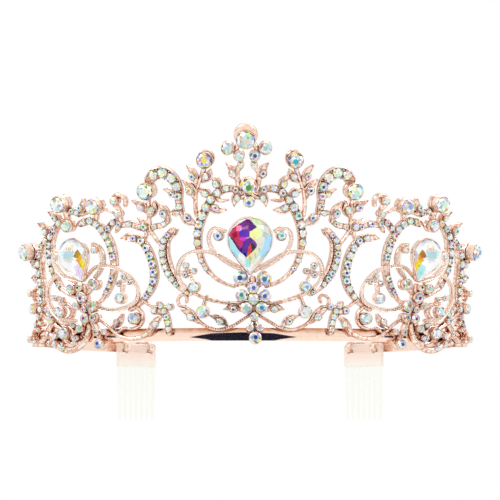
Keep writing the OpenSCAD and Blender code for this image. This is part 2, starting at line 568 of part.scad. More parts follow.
// A casting: scrolls, leaves and the pads of its cups and stones in one piece.
// Neighbouring scrolls and leaves step back a little from the pads, each by its own amount.
function step_of(i, first) = face_step * (first + i % 3);
module casting(scrolls, leaves, rounds, pads, d, t) {
    for (i = [0:1:len(scrolls) - 1]) {
        in = step_of(i, 1);
        scroll(scrolls[i][0], scrolls[i][1], d + in, t - 2 * in);
    }
    for (i = [0:1:len(leaves) - 1]) {
        in = step_of(i, 0.5);
        leaf(leaves[i][0], leaves[i][1], leaves[i][2], d + in, t - 2 * in);
    }
    for (r = rounds) pad(r[0], r[1], cup_d(r[2], cup_wall), d, t);
    for (q = pads) pad(q[0], q[1], q[2] + 2 * row_rim, d, t);
}

// Small flat-backed stone
module small_stone(w) {
    rise = small_rise * w;
    rotate_extrude()
        polygon([[0, 0], [w / 2, 0], [w / 2, small_edge * rise], [small_table * w, rise], [0, rise]]);
}
module stones(list, d) {
    color(CLEAR) for (q = list) multmatrix(stand(q[0], q[1])) translate([0, 0, d + glue]) small_stone(q[2]);
}

// Cup with a flat floor, and the round stone that it holds
module cup(w, h, wall) {
    in_r = w / 2 + glue;
    out_r = in_r + wall;
    rotate_extrude()
        polygon([
            [0, 0], [cup_foot * out_r, 0], [out_r, cup_floor], [out_r, h],
            [in_r, h], [in_r, cup_floor], [0, cup_floor]
        ]);
}
module round_stone(w, h) {
    low = cup_floor + glue;
    girdle = max(low + least_cone, h - girdle_drop * w);
    top = girdle + round_rise * w;
    rotate_extrude()
        polygon([
            [0, low], [round_foot * w, low], [w / 2, girdle], [w / 2, girdle + girdle_edge * w],
            [round_table * w, top], [0, top]
        ]);
}
module cups(list, d) {
    for (r = list) multmatrix(stand(r[0], r[1])) translate([0, 0, d + solder]) cup(r[2], r[3], cup_wall);
}
module round_stones(list, d) {
    for (r = list) multmatrix(stand(r[0], r[1])) translate([0, 0, d + solder]) round_stone(r[2], r[3]);
}

// The crest's top cup stands up as a hood above its stone
module hooded_cup() {
    in_r = crest_stone / 2 + glue;
    out_r = in_r + crest_wall;
    difference() {
        translate([0, crest_hood, 0]) rotate_extrude()
            polygon([[0, 0], [cup_foot * out_r, 0], [out_r, cup_floor], [out_r, deep_cup], [0, deep_cup]]);
        translate([0, 0, cup_floor]) cylinder(r = in_r, h = deep_cup);
    }
}

// It tips forward about its lower edge
module tip_crest() {
    foot_r = crest_stone / 2 + glue + crest_wall - crest_hood;
    multmatrix(stand(crest_at[0], crest_at[1])) translate([0, -foot_r, cast_t + solder])
        rotate([crest_tip, 0, 0]) translate([0, foot_r, 0]) children();
}

// Pear outline about the centre of its round end, with the point downward
function pear_outline(w, l, grow) =
    let (r = w / 2 + grow, reach = l - w / 2 + grow / sin(atan2(w / 2, l - w / 2)))
    let (turn = acos(r / reach), first = -90 + turn, last = 270 - turn)
    concat([[0, -reach]], [for (i = [0:pear_sides])
        let (a = first + (last - first) * i / pear_sides) [r * cos(a), r * sin(a)]]);
module pear_setting(w, l) {
    difference() {
        linear_extrude(pear_floor + pear_seat) polygon(pear_outline(w, l, pear_wall + glue));
        translate([0, 0, pear_floor]) linear_extrude(pear_seat + overrun) polygon(pear_outline(w, l, glue));
    }
}
module pear_stone(w, l) {
    translate([0, 0, pear_floor + glue]) hull() {
        linear_extrude(pear_seat) polygon(pear_outline(w, l, 0));
        translate([0, 0, pear_seat + pear_crown - table_t]) linear_extrude(table_t)
            polygon(pear_outline(w * pear_table, l * pear_table, 0));
    }
}
center_pear_at = [0, 28];
module at_center_pear() {
    multmatrix(stand(center_pear_at[0], center_pear_at[1])) translate([0, 0, pear_d]) children();
}
module at_side_pear() {
    multmatrix(stand(side_pear_at[0], side_pear_at[1])) translate([0, 0, pear_d])
        rotate([0, 0, -side_pear_turn]) children();
}

module left() {
    mirror([1, 0, 0]) children();
}
module both_halves() {
    children();
    left() children();
}

// The strip's plane rises toward its ends, about its upper edge at the front
module risen() {
    translate([0, -ring_front, band_h]) rotate([band_rise, 0, 0]) translate([0, ring_front, -band_h]) children();
}

// The strip follows the ring, behind the crown's back face
module headband() {
    half = ring_len / 2;
    outer = [for (i = [-band_steps:band_steps]) strip_point(half * i / band_steps, solder)];
    inner = [for (i = [band_steps:-1:-band_steps]) strip_point(half * i / band_steps, solder + band_t)];
    color(ROSE) risen() linear_extrude(band_h) polygon(concat(outer, inner));
}

module center_frame() {
    color(ROSE) union() {
        both_halves() casting(frame_scrolls, frame_leaves, [], [], 0, cast_t);
        for (side = [-1, 1])
            casting(lean_scrolls(crest_scrolls, side), lean_leaves(crest_leaves, side),
                lean_rounds(crest_rounds, side), [], 0, cast_t);
        for (r = lean_rounds(column_rounds, 1))
            if (r[1] > lean_h) pad(r[0], r[1], cup_d(r[2], cup_wall), 0, cast_t);
        pad(crest_at[0], crest_at[1], cup_d(crest_stone, crest_wall), 0, cast_t);
    }
}
module center_cradle() {
    color(ROSE) union() {
        both_halves() casting(cradle_scrolls, cradle_leaves, [], [], 0, cast_t);
        casting(bar_scrolls, [], [], [], -face_step, cast_t + 2 * face_step);
        for (side = [-1, 1])
            casting(lean_scrolls(drop_scrolls, side), [], lean_rounds(drop_rounds, side), [], 0, cast_t);
    }
}
module center_foot() {
    color(ROSE) union() {
        for (side = [-1, 1])
            casting(lean_scrolls(foot_scrolls, side), lean_leaves(foot_leaves, side),
                lean_rounds(foot_rounds, side), [], 0, cast_t);
        casting(lean_scrolls(stem_scrolls, 1), [], [], [], 0, cast_t);
        for (r = lean_rounds(column_rounds, 1))
            if (r[1] < lean_h) pad(r[0], r[1], cup_d(r[2], cup_wall), 0, cast_t);
    }
}
module right_spray() {
    color(ROSE) casting(spray_scrolls, spray_leaves, spray_rounds, [], 0, cast_t);
}
module right_plume() {
    color(ROSE) casting(plume_scrolls, plume_leaves, plume_rounds, [], 0, cast_t);
}
module right_crescent() {
    color(ROSE) casting(crescent_scrolls, crescent_leaves, crescent_rounds, [], 0, cast_t);
}
module right_side_frame() {
    color(ROSE) casting(side_scrolls, side_leaves, side_rounds, [], 0, cast_t);
}
module right_side_foot() {
    color(ROSE) casting(side_foot_scrolls, [], side_foot_rounds, [], 0, cast_t);
}
module right_end_scroll() {
    color(ROSE) casting(end_scrolls, end_leaves, end_rounds, [], 0, cast_t);
}
module right_hem() {
    color(ROSE) casting(hem_scrolls, hem_leaves, hem_rounds, hem_pads, 0, cast_t);
}
module right_curl() {
    color(ROSE) casting(curl_scrolls, [], curl_rounds, curl_pads, wire_d, wire_t);
}
module right_side_curl() {
    color(ROSE) casting(side_curl_scrolls, [], side_curl_rounds, side_curl_pads, wire_d, wire_t);
}

module center_cups() {
    color(ROSE) {
        cups(column_set, cast_t);
        tip_crest() hooded_cup();
    }
}
module center_rounds() {
    color(CLEAR) {
        round_stones(column_set, cast_t);
        tip_crest() round_stone(crest_stone, deep_cup);
    }
}
module right_cups() {
    color(ROSE) {
        cups(half_rounds, cast_t);
        cups(concat(curl_rounds, side_curl_rounds), wire_top);
    }
}
module right_rounds() {
    color(CLEAR) {
        round_stones(half_rounds, cast_t);
        round_stones(concat(curl_rounds, side_curl_rounds), wire_top);
    }
}

module center_pear_setting() {
    color(ROSE) at_center_pear() pear_setting(pear_w, pear_l);
}
module center_pear() {
    color(CLEAR) at_center_pear() pear_stone(pear_w, pear_l);
}
module right_pear_setting() {
    color(ROSE) at_side_pear() pear_setting(side_pear_w, side_pear_l);
}
module right_pear() {
    color(CLEAR) at_side_pear() pear_stone(side_pear_w, side_pear_l);
}

module frame_stones() {
    both_halves() stones(all_stones(frame_scrolls, frame_leaves), cast_t);
    for (side = [-1, 1]) stones(leaf_stones(lean_leaves(crest_leaves, side)), cast_t);
}
module cradle_stones() {
    both_halves() stones(all_stones(cradle_rows, cradle_leaves), cast_t);
}
module foot_stones() {
    for (side = [-1, 1]) stones(leaf_stones(lean_leaves(foot_leaves, side)), cast_t);
}
module right_spray_stones() {
    stones(all_stones(spray_scrolls, spray_leaves), cast_t);
}
module right_plume_stones() {
    stones(all_stones(plume_scrolls, plume_leaves), cast_t);
}
module right_crescent_stones() {
    stones(all_stones(crescent_scrolls, crescent_leaves), cast_t);
}
module right_side_stones() {
    stones(all_stones(side_scrolls, side_leaves), cast_t);
}
module right_end_stones() {
    stones(all_stones(end_scrolls, end_leaves), cast_t);
}
module right_hem_stones() {
    stones(concat(all_stones(hem_scrolls, hem_leaves), hem_pads), cast_t);
    stones(concat(curl_pads, side_curl_pads), wire_top);
}

// Frame of a comb: x outward, y along its spine, z up, on the spine's middle
module at_comb() {
    risen() translate([rear_center[0], rear_center[1], 0]) rotate([0, 0, comb_turn])
        translate([spine_x, 0, spine_z]) children();
}
module along_spine(d, l) {
    rotate([90, 0, 0]) cylinder(d = d, h = l, center = true);
}
module right_comb_loops() {
    foot_x = loop_r - loop_wall / 2;
    color(ROSE) at_comb() for (side = [-1, 1]) translate([0, side * loop_y, 0]) difference() {
        union() {
            along_spine(2 * loop_r, loop_w);
            translate([0, -loop_w / 2, -loop_wall]) cube([foot_x, loop_w, 2 * loop_wall]);
        }
        along_spine(spine_d + 2 * spine_fit, loop_w + overrun);
    }
}
module right_comb() {
    pitch = (comb_w - tooth_root) / (tooth_count - 1);
    notch_d = loop_r + notch_room;
    color(PLASTIC) at_comb() union() {
        along_spine(spine_d, comb_w);
        difference() {
            translate([-comb_t / 2, -comb_w / 2, -comb_plate]) cube([comb_t, comb_w, comb_plate]);
            for (side = [-1, 1]) translate([-comb_t, side * loop_y - loop_w / 2 - notch_room, -notch_d])
                cube([2 * comb_t, loop_w + 2 * notch_room, 2 * notch_d]);
        }
        for (i = [0:tooth_count - 1])
            translate([-comb_t / 2, -comb_w / 2 + tooth_root / 2 + i * pitch, -comb_plate])
                rotate([90, 0, 90]) linear_extrude(comb_t) polygon([
                    [-tooth_root / 2, tooth_sink], [-tooth_root / 2, 0], [-tooth_tip / 2, -tooth_l],
                    [tooth_tip / 2, -tooth_l], [tooth_root / 2, 0], [tooth_root / 2, tooth_sink]
                ]);
    }
}

headband();
center_frame();
center_cradle();
center_foot();
left() right_spray();  // left_spray
right_spray();
left() right_plume();  // left_plume
right_plume();
left() right_crescent();  // left_crescent
right_crescent();
left() right_side_frame();  // left_side_frame
right_side_frame();
left() right_side_foot();  // left_side_foot
right_side_foot();
left() right_end_scroll();  // left_end_scroll
right_end_scroll();
left() right_curl();  // left_curl
right_curl();
left() right_side_curl();  // left_side_curl
right_side_curl();
left() right_hem();  // left_hem
right_hem();
center_cups();
left() right_cups();  // left_cups
right_cups();
center_rounds();
left() right_rounds();  // left_rounds
right_rounds();
center_pear_setting();
left() right_pear_setting();  // left_pear_setting
right_pear_setting();
center_pear();
left() right_pear();  // left_pear
right_pear();
frame_stones();
cradle_stones();
foot_stones();
left() right_spray_stones();  // left_spray_stones
right_spray_stones();
left() right_plume_stones();  // left_plume_stones
right_plume_stones();
left() right_crescent_stones();  // left_crescent_stones
right_crescent_stones();
left() right_side_stones();  // left_side_stones
right_side_stones();
left() right_end_stones();  // left_end_stones
right_end_stones();
left() right_hem_stones();  // left_hem_stones
right_hem_stones();
left() right_comb_loops();  // left_comb_loops
right_comb_loops();
left() right_comb();  // left_comb
right_comb();
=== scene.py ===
# %% [markdown]
# # A bridal tiara in rose gold
# The tiara is an open headband that carries a tall crown of cast scrolls, pointed leaves, coated crystals
# and two clear combs. The solids from the workshop drawing are loaded first, as a fixed frame,
# and every piece made here is dressed over them.
# Lengths in the lists below are millimetres, as a goldsmith would note them, and become metres in a mesh.

# %% Load the frame
import math
import random

import bmesh
import bpy
import numpy as np
from mathutils import Matrix, Vector


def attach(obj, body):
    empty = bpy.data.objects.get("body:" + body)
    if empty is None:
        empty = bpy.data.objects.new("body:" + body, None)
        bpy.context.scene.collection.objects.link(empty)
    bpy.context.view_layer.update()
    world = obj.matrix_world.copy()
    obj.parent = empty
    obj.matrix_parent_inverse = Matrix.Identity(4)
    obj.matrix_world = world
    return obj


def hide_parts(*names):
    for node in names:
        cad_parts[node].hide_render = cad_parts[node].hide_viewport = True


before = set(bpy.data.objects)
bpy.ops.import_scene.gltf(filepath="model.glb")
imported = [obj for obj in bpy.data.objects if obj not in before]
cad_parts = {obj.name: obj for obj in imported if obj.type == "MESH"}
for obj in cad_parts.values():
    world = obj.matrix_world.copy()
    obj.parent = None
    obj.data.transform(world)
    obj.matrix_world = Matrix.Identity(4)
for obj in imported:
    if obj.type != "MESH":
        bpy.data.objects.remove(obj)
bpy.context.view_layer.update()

MM = 0.001

# %% [markdown]
# ## Camera, light and floor
# The photograph is a shop picture: a long lens a little below the band, a white background and soft light.
# A nearer and wider lens could frame it too, but from 0.6 m the front and rear pieces overlap as they should.
# Metal shows what stands around it, so the white world is also what mirrors see.
# A small navy card in front of the band gives its mirror the one dark streak that it shows.


# %% Camera
def new_object(name, data):
    """An object in the scene's collection."""
    made = bpy.data.objects.new(name, data)
    bpy.context.scene.collection.objects.link(made)
    return made


camera = new_object("camera", bpy.data.cameras.new("camera"))
camera.location = (0, -0.59179, -0.03264)
camera.rotation_euler = (math.radians(95.949), 0, 0)
camera.data.lens = 145.33
camera.data.sensor_width = 36
camera.data.clip_start = 0.01
bpy.context.scene.camera = camera
bpy.context.scene.view_settings.view_transform = "Standard"
print("camera", tuple(round(c, 4) for c in camera.location), camera.data.lens, "mm")


# %% One function for colours, one for nodes, and short forms of it
def linear(code):
    """An sRGB hex colour as linear red, green, blue and alpha."""
    parts = [int(code[i:i + 2], 16) / 255 for i in (1, 3, 5)]
    return tuple(c / 12.92 if c < 0.04045 else ((c + 0.055) / 1.055) ** 2.4 for c in parts) + (1.0,)


def add(tree, kind, inputs=None, **settings):
    """Adds a node, sets its settings, and sets or links its inputs."""
    made = tree.nodes.new(kind)
    for key, value in settings.items():
        setattr(made, key, value)
    for key, value in (inputs or {}).items():
        if isinstance(value, bpy.types.NodeSocket):
            tree.links.new(value, made.inputs[key])
        else:
            made.inputs[key].default_value = value
    return made


def remap(tree, value, start, end, low=0.0, high=1.0):
    """A value stretched from one span to another."""
    return add(tree, "ShaderNodeMapRange", {"Value": value, "From Min": start, "From Max": end,
                                            "To Min": low, "To Max": high}).outputs[0]


def blend(tree, share, first, second):
    """A share of the way from one colour to another."""
    return add(tree, "ShaderNodeMix", {0: share, 6: first, 7: second}, data_type="RGBA").outputs[2]


def times(tree, first, second, clamp=False):
    """The product of two values."""
    made = add(tree, "ShaderNodeMath", {0: first, 1: second}, operation="MULTIPLY", use_clamp=clamp)
    return made.outputs[0]


def noise(tree, where, size_mm, detail=2.0):
    """Noise with patches of a given size."""
    return add(tree, "ShaderNodeTexNoise", {"Vector": where, "Scale": 1 / (size_mm * MM),
                                            "Detail": detail}).outputs[0]


def on_object(tree):
    """The place of a point on its object."""
    return add(tree, "ShaderNodeTexCoord").outputs["Object"]


print("white is", linear("#FFFFFF"))

# %% World: white for eyes, mirrors and glass, softer for plain surfaces
world = bpy.data.worlds.new("white_studio")
bpy.context.scene.world = world
world.use_nodes = True
sky = world.node_tree
sky.nodes.clear()
rays = add(sky, "ShaderNodeLightPath").outputs
seen = add(sky, "ShaderNodeMath", {0: rays["Is Camera Ray"], 1: rays["Is Glossy Ray"]}, operation="ADD")
seen = add(sky, "ShaderNodeMath", {0: seen.outputs[0], 1: rays["Is Transmission Ray"]}, operation="ADD",
           use_clamp=True)
shown = add(sky, "ShaderNodeBackground", {"Color": linear("#FFFFFF"), "Strength": 1.0})
soft = add(sky, "ShaderNodeBackground", {"Color": linear("#FFFFFF"), "Strength": 0.7})
mixed = add(sky, "ShaderNodeMixShader", {0: seen.outputs[0], 1: soft.outputs[0], 2: shown.outputs[0]})
add(sky, "ShaderNodeOutputWorld", {"Surface": mixed.outputs[0]})
print("world", world.name)

# %% Lamps
CROWN_MIDDLE = Vector((0, -0.03, 0.025))


def softbox(name, place, size, watts):
    """A square lamp that looks at the middle of the crown."""
    lamp = bpy.data.lights.new(name, "AREA")
    lamp.size = size
    lamp.energy = watts
    box = new_object(name, lamp)
    box.location = place
    box.rotation_euler = (CROWN_MIDDLE - Vector(place)).to_track_quat("-Z", "Y").to_euler()


softbox("softbox_left", (-0.55, -0.45, 0.55), size=0.35, watts=2.2)
softbox("softbox_right", (0.6, -0.35, 0.4), size=0.3, watts=1.4)
softbox("softbox_back", (0.1, 0.6, 0.7), size=0.4, watts=1.6)


# %% Floor and dark cards
def flat_sheet(name, corners, finish):
    """A flat stage sheet from its corners, in metres."""
    mesh = bpy.data.meshes.new(name)
    mesh.from_pydata(corners, [], [tuple(range(len(corners)))])
    mesh.materials.append(finish)
    sheet = new_object(name, mesh)
    return sheet


def plain_finish(name, code):
    """Matt paint or felt with a very fine texture, about 2 mm across."""
    finish = bpy.data.materials.new(name)
    finish.use_nodes = True
    tree = finish.node_tree
    marks = noise(tree, on_object(tree), 2.0)
    bump = add(tree, "ShaderNodeBump", {"Height": marks, "Strength": 0.05, "Distance": 0.2 * MM})
    body = tree.nodes["Principled BSDF"]
    body.inputs["Base Color"].default_value = linear(code)
    body.inputs["Roughness"].default_value = 0.9
    tree.links.new(bump.outputs[0], body.inputs["Normal"])
    return finish


FLOOR_Z = -0.06
REACH = 0.75
floor_line = [(-REACH, -REACH), (REACH, -REACH), (REACH, REACH), (-REACH, REACH)]
flat_sheet("floor", [(x, y, FLOOR_Z) for x, y in floor_line], plain_finish("white_painted_table", "#F8F7F5"))
card_finish = plain_finish("navy_felt_card", "#0A1030")
card_line = [(-0.0295, -0.004), (-0.018, -0.0125), (-0.0035, -0.0155), (0.011, -0.0125), (0.0225, -0.004),
             (0.011, 0.0065), (-0.0035, 0.009), (-0.018, 0.0065)]
cards = {"card_in_front": [(x, -0.068, z) for x, z in card_line]}
for name, x, y0, y1 in (("card_left", -0.42, -0.35, -0.20), ("card_right", 0.42, -0.20, -0.35)):
    cards[name] = [(x, y0, -0.05), (x, y1, -0.05), (x, y1, 0.25), (x, y0, 0.25)]
for name, corners in cards.items():
    card = flat_sheet(name, corners, card_finish)
    card.visible_camera = False
    card.visible_diffuse = False
    card.visible_shadow = False
    card.visible_transmission = False
print("floor at", FLOOR_Z, "m")

# %% [markdown]
# ## The finishes
# The castings are brass or zinc, plated with rose gold: a mirror-like skin that turns brown
# where it is shaded by its neighbours. The round cups are plated too, but were tumbled satin.
# The crystals are glass with foil on the back and a rainbow film on the front,
# so their facets flash in pale cyan, lime, lilac and gold.
# A picture of such a stone could be wrapped on, but facets with their own colours look right from every side.


# %% How plated metal is made
def new_finish(name):
    """An empty material and its node tree."""
    finish = bpy.data.materials.new(name)
    finish.use_nodes = True
    finish.node_tree.nodes.clear()
    return finish, finish.node_tree


def surface(tree, shader):
    """Ends a material's tree with its shader."""
    add(tree, "ShaderNodeOutputMaterial", {"Surface": shader.outputs[0]})


# the strip rises toward its ends
BAND_RISE = math.radians(1.2)


def crown_edge_tint(tree, where):
    """The strip's upper edge is tinted orange for about a millimetre, where the crown stands on it."""
    axis = add(tree, "ShaderNodeSeparateXYZ", {0: where}).outputs
    height = add(tree, "ShaderNodeMath", {0: axis["Y"], 1: -math.tan(BAND_RISE), 2: axis["Z"]},
                 operation="MULTIPLY_ADD")
    edge = add(tree, "ShaderNodeMath", {0: noise(tree, where, 1.6, 3.0), 1: 1.6 * MM, 2: height.outputs[0]},
               operation="MULTIPLY_ADD")
    # the strip's ends carry no crown, so they stay untinted
    near = remap(tree, axis["Y"], 45 * MM, 20 * MM)
    return times(tree, remap(tree, edge.outputs[0], 3.5 * MM, 5.0 * MM), near)


def rose_gold(name, bright, shade_and_pit_colour, rough, grain_mm, depth_mm, edge, mottle, corner_mm=0.9, edge_tinted=False):
    """Plated metal with painted shade: browner in the corners that its neighbours shade and where it turns
    away, and with a fine grain.
    """
    finish, tree = new_finish(name)
    where = on_object(tree)
    # painted shade: ambient occlusion finds the corners that neighbours shade, and those corners are painted
    # browner
    reach = add(tree, "ShaderNodeAmbientOcclusion", {"Distance": corner_mm * MM}, samples=6).outputs["AO"]
    # casting skin: small pits less than a millimetre wide keep a browner plate
    pits = noise(tree, where, 0.8)
    share = times(tree, remap(tree, reach, 0.2, 0.68), remap(tree, pits, 0.36, 0.56, mottle, 1.0))
    # painted shade: the plate is painted browner where it turns away from the eye, the way small polished
    # wires look
    slant = add(tree, "ShaderNodeLayerWeight", {"Blend": 0.5}).outputs["Facing"]
    share = times(tree, share, remap(tree, slant, 0.35, 0.85, 1.0, edge))
    colour = blend(tree, share, linear(shade_and_pit_colour), linear(bright))
    # painted shade: the deepest corners are painted a dark brown
    colour = blend(tree, remap(tree, reach, 0.1, 0.4), linear("#74391F"), colour)
    # the strip's upper edge is tinted orange where the crown stands over it
    if edge_tinted:
        colour = blend(tree, crown_edge_tint(tree, where), colour, linear("#CC8450"))
    worn = remap(tree, pits, 0.0, 1.0, rough * 1.3, rough * 0.7)
    bump = add(tree, "ShaderNodeBump", {"Height": noise(tree, where, grain_mm), "Strength": 0.6,
                                        "Distance": depth_mm * MM})
    surface(tree, add(tree, "ShaderNodeBsdfPrincipled", {
        "Base Color": colour, "Metallic": 1.0, "Roughness": worn, "Normal": bump.outputs[0]}))
    return finish


print("the heat stain follows a rise of", round(math.degrees(BAND_RISE), 1), "degrees")

# %% Four plates of rose gold
# polished plate: a soft mirror, pale peach in the light and painted brown in its shaded corners
polished_plate = rose_gold("rose_gold_plate_polished", "#FFEDDF", "#C0744A", rough=0.2, grain_mm=0.7,
                           depth_mm=0.05, edge=0.2, mottle=0.3)
# satin plate: tumbled cups, paler and without sharp mirror images
satin_plate = rose_gold("rose_gold_plate_satin", "#FBE2D2", "#C48865", rough=0.36, grain_mm=0.35,
                        depth_mm=0.03, edge=0.6, mottle=0.75)
# drawn wire: thin and bright, with little painted shade and few brown pits
wire_plate = rose_gold("rose_gold_plate_wire", "#FFF0E4", "#C27B52", rough=0.2, grain_mm=0.7,
                       depth_mm=0.04, edge=0.1, mottle=0.8, corner_mm=0.25)
# rolled strip: a clean mirror, because a plain band is the easiest piece to polish
band_plate = rose_gold("rose_gold_plate_mirror", "#FDE2D1", "#C58663", rough=0.06, grain_mm=8.0,
                       depth_mm=0.02, edge=0.8, mottle=0.9, edge_tinted=True)
print("metals", polished_plate.name, satin_plate.name, wire_plate.name, band_plate.name)

# %% Coated crystal for the round stones
# the film's colours: each one starts at its share of the facets and holds to the next
FILM = [(0.0, "#FFFFFF"), (0.2, "#94E2F0"), (0.31, "#C8B0F6"), (0.41, "#F6EC70"), (0.53, "#9EEAB4"),
        (0.63, "#86A2F0"), (0.7, "#FFFFFF"), (0.8, "#F2B084"), (0.86, "#4E5258"), (0.96, "#D8602E")]
crystal, tree = new_finish("foil_backed_crystal_rainbow_coated")
eye, glow, zone, facet, stone_no = (add(tree, "ShaderNodeAttribute", attribute_name=label).outputs
                                    for label in ("eye", "glow", "zone", "facet", "stone_no"))
pair = add(tree, "ShaderNodeCombineXYZ", {"X": facet["Fac"], "Y": stone_no["Fac"]})
chance = add(tree, "ShaderNodeTexWhiteNoise", {"Vector": pair.outputs[0]}, noise_dimensions="2D").outputs
flash = add(tree, "ShaderNodeValToRGB", {0: chance["Value"]})
flash.color_ramp.interpolation = "CONSTANT"
while len(flash.color_ramp.elements) < len(FILM):
    flash.color_ramp.elements.new(1.0)
for stop, (place, code) in zip(flash.color_ramp.elements, FILM):
    stop.position = place
    stop.color = linear(code)
# the foil's eye shows in the table, and the film's flashes grow toward the crown facets
lit = blend(tree, remap(tree, zone["Fac"], 1.0, 2.0, 0.6, 0.9), glow["Color"], flash.outputs[0])
past_eye = add(tree, "ShaderNodeMath", {0: zone["Fac"], 1: 0.5}, operation="GREATER_THAN").outputs[0]
colour = blend(tree, past_eye, eye["Color"], lit)
# painted shade near the girdle, where the setting shades the stone, darker in some facets than in others
girdle_shade = times(tree, remap(tree, zone["Fac"], 2.75, 4.0, 0.0, 1.1),
             remap(tree, chance["Color"], 0.0, 1.0, 0.1, 1.0), clamp=True)
colour = blend(tree, girdle_shade, colour, linear("#6E4A3C"))
GLASS_IOR = 1.56
surface(tree, add(tree, "ShaderNodeBsdfPrincipled", {
    "Base Color": colour, "Metallic": 0.3, "Roughness": 0.06, "IOR": GLASS_IOR}))
print("crystal", crystal.name, "with", len(FILM), "film colours")

# %% Coated crystal for the pears
# each facet of a pear carries its own colour, because its large facets are told apart by eye
pear_crystal, tree = new_finish("foil_backed_pear_crystal_rainbow_coated")
tint = add(tree, "ShaderNodeAttribute", attribute_name="tint").outputs["Color"]
# the film drifts in thickness over a few millimetres
drift = noise(tree, on_object(tree), 3.0)
colour = add(tree, "ShaderNodeHueSaturation", {
    "Hue": remap(tree, drift, 0.3, 0.7, 0.46, 0.54), "Value": remap(tree, drift, 0.3, 0.7, 0.9, 1.1),
    "Color": tint})
surface(tree, add(tree, "ShaderNodeBsdfPrincipled", {
    "Base Color": colour.outputs[0], "Metallic": 0.25, "Roughness": 0.05, "IOR": GLASS_IOR}))
print("crystal", pear_crystal.name)


# %% Comb plastic
def plastic(name, painted_gold_reflection, milk_least, milk_most, lit):
    """Moulded polycarbonate with a faint flow ripple left by the mould.

    Thin clear plastic hardly bends the light, so part of it is let straight through, and the turned edges
    look milkier. Milky plastic also carries light that enters elsewhere and gives it back all over;
    'lit' is the strength of a painted glow that stands in for it: the skin emits a little of its own tone."""
    finish, tree = new_finish(name)
    where = on_object(tree)
    ripple = noise(tree, where, 2.5)
    bump = add(tree, "ShaderNodeBump", {"Height": ripple, "Strength": 0.3, "Distance": 0.04 * MM}).outputs[0]
    # painted reflection: warmest within five millimetres of the spine, where the rose gold shines into it
    height = add(tree, "ShaderNodeSeparateXYZ", {0: where}).outputs["Z"]
    tone = blend(tree, remap(tree, height, -3.5 * MM, 1.5 * MM), linear("#FAFCF6"), linear(painted_gold_reflection))
    # painted glow: the skin emits its own tone at strength 'lit'
    skin = add(tree, "ShaderNodeBsdfPrincipled", {
        "Base Color": tone, "Roughness": remap(tree, ripple, 0.0, 1.0, 0.04, 0.12), "IOR": 1.58,
        "Normal": bump, "Emission Color": tone, "Emission Strength": lit})
    clear = add(tree, "ShaderNodeBsdfTransparent", {"Color": linear("#FDFDFA")})
    slant = add(tree, "ShaderNodeLayerWeight", {"Blend": 0.4, "Normal": bump}).outputs["Facing"]
    milk = remap(tree, slant, 0.0, 1.0, milk_least, milk_most)
    surface(tree, add(tree, "ShaderNodeMixShader", {0: milk, 1: clear.outputs[0], 2: skin.outputs[0]}))
    return finish


# the teeth are polished clear, the plate and spine are left milky by the mould
tooth_plastic = plastic("clear_moulded_polycarbonate", "#FAFCF6", milk_least=0.04, milk_most=0.16, lit=0.1)
plate_plastic = plastic("milky_moulded_polycarbonate", "#FBE6DA", milk_least=0.6, milk_most=0.7, lit=0.06)
print("plastics", tooth_plastic.name, plate_plastic.name)

# %% [markdown]
# ## Where things stand on the crown
# The crown is a flat pattern bent round the head: every point is a distance along the ring and a height.
# The ring is three arcs on each side, tight at the temples, and the wall flares outward as it rises.
# The same rule as in the workshop drawing is repeated here, so that each piece lands on its solid.

# %% The bent wall
FRONT_R, SHOULDER_R, REAR_R = 95.0, 28.0, 100.0
FRONT_HALF, REAR_TURN = math.radians(32), math.radians(46)
FLARE = 0.0033
FRONT_LEN = FRONT_R * FRONT_HALF
SHOULDER_LEN = SHOULDER_R * (math.pi / 2 - FRONT_HALF)
HALF_LEN = FRONT_LEN + SHOULDER_LEN + REAR_R * REAR_TURN
RING_FRONT = FRONT_R * (1 - math.cos(FRONT_HALF)) + SHOULDER_R * math.cos(FRONT_HALF)
RING_SIDE = FRONT_R * math.sin(FRONT_HALF) + SHOULDER_R * (1 - math.sin(FRONT_HALF))


def stand(s, h):
    """Place, way along the ring, way up the wall and way out of it, for distances s and heights h in mm."""
    s, h = np.atleast_1d(np.asarray(s, float)), np.atleast_1d(np.asarray(h, float))
    far, side = np.abs(s), np.where(s < 0, -1.0, 1.0)
    front, temple = far <= FRONT_LEN, far <= FRONT_LEN + SHOULDER_LEN
    turn = np.where(front, far / FRONT_R,
                    np.where(temple, FRONT_HALF + (far - FRONT_LEN) / SHOULDER_R,
                             math.pi / 2 + (far - FRONT_LEN - SHOULDER_LEN) / REAR_R)) * side
    radius = np.where(front, FRONT_R, np.where(temple, SHOULDER_R, REAR_R))
    middle_x = np.where(front, 0, np.where(temple, RING_SIDE - SHOULDER_R, RING_SIDE - REAR_R)) * side
    middle_y = np.where(front, FRONT_R - RING_FRONT, 0)
    up = np.maximum(h, 0)
    lean = np.arctan(2 * FLARE * up)[:, None]
    zero = np.zeros_like(turn)
    out = np.stack([np.sin(turn), -np.cos(turn), zero], 1)
    rise = np.array([0.0, 0.0, 1.0])
    place = np.stack([middle_x + radius * np.sin(turn), middle_y - radius * np.cos(turn), h], 1)
    place = place + out * (FLARE * up * up)[:, None]
    along = np.stack([np.cos(turn), np.sin(turn), zero], 1)
    return place, along, out * np.sin(lean) + rise * np.cos(lean), out * np.cos(lean) - rise * np.sin(lean)


print("ring", round(2 * HALF_LEN, 1), "mm long and", round(2 * RING_SIDE, 1), "mm wide")


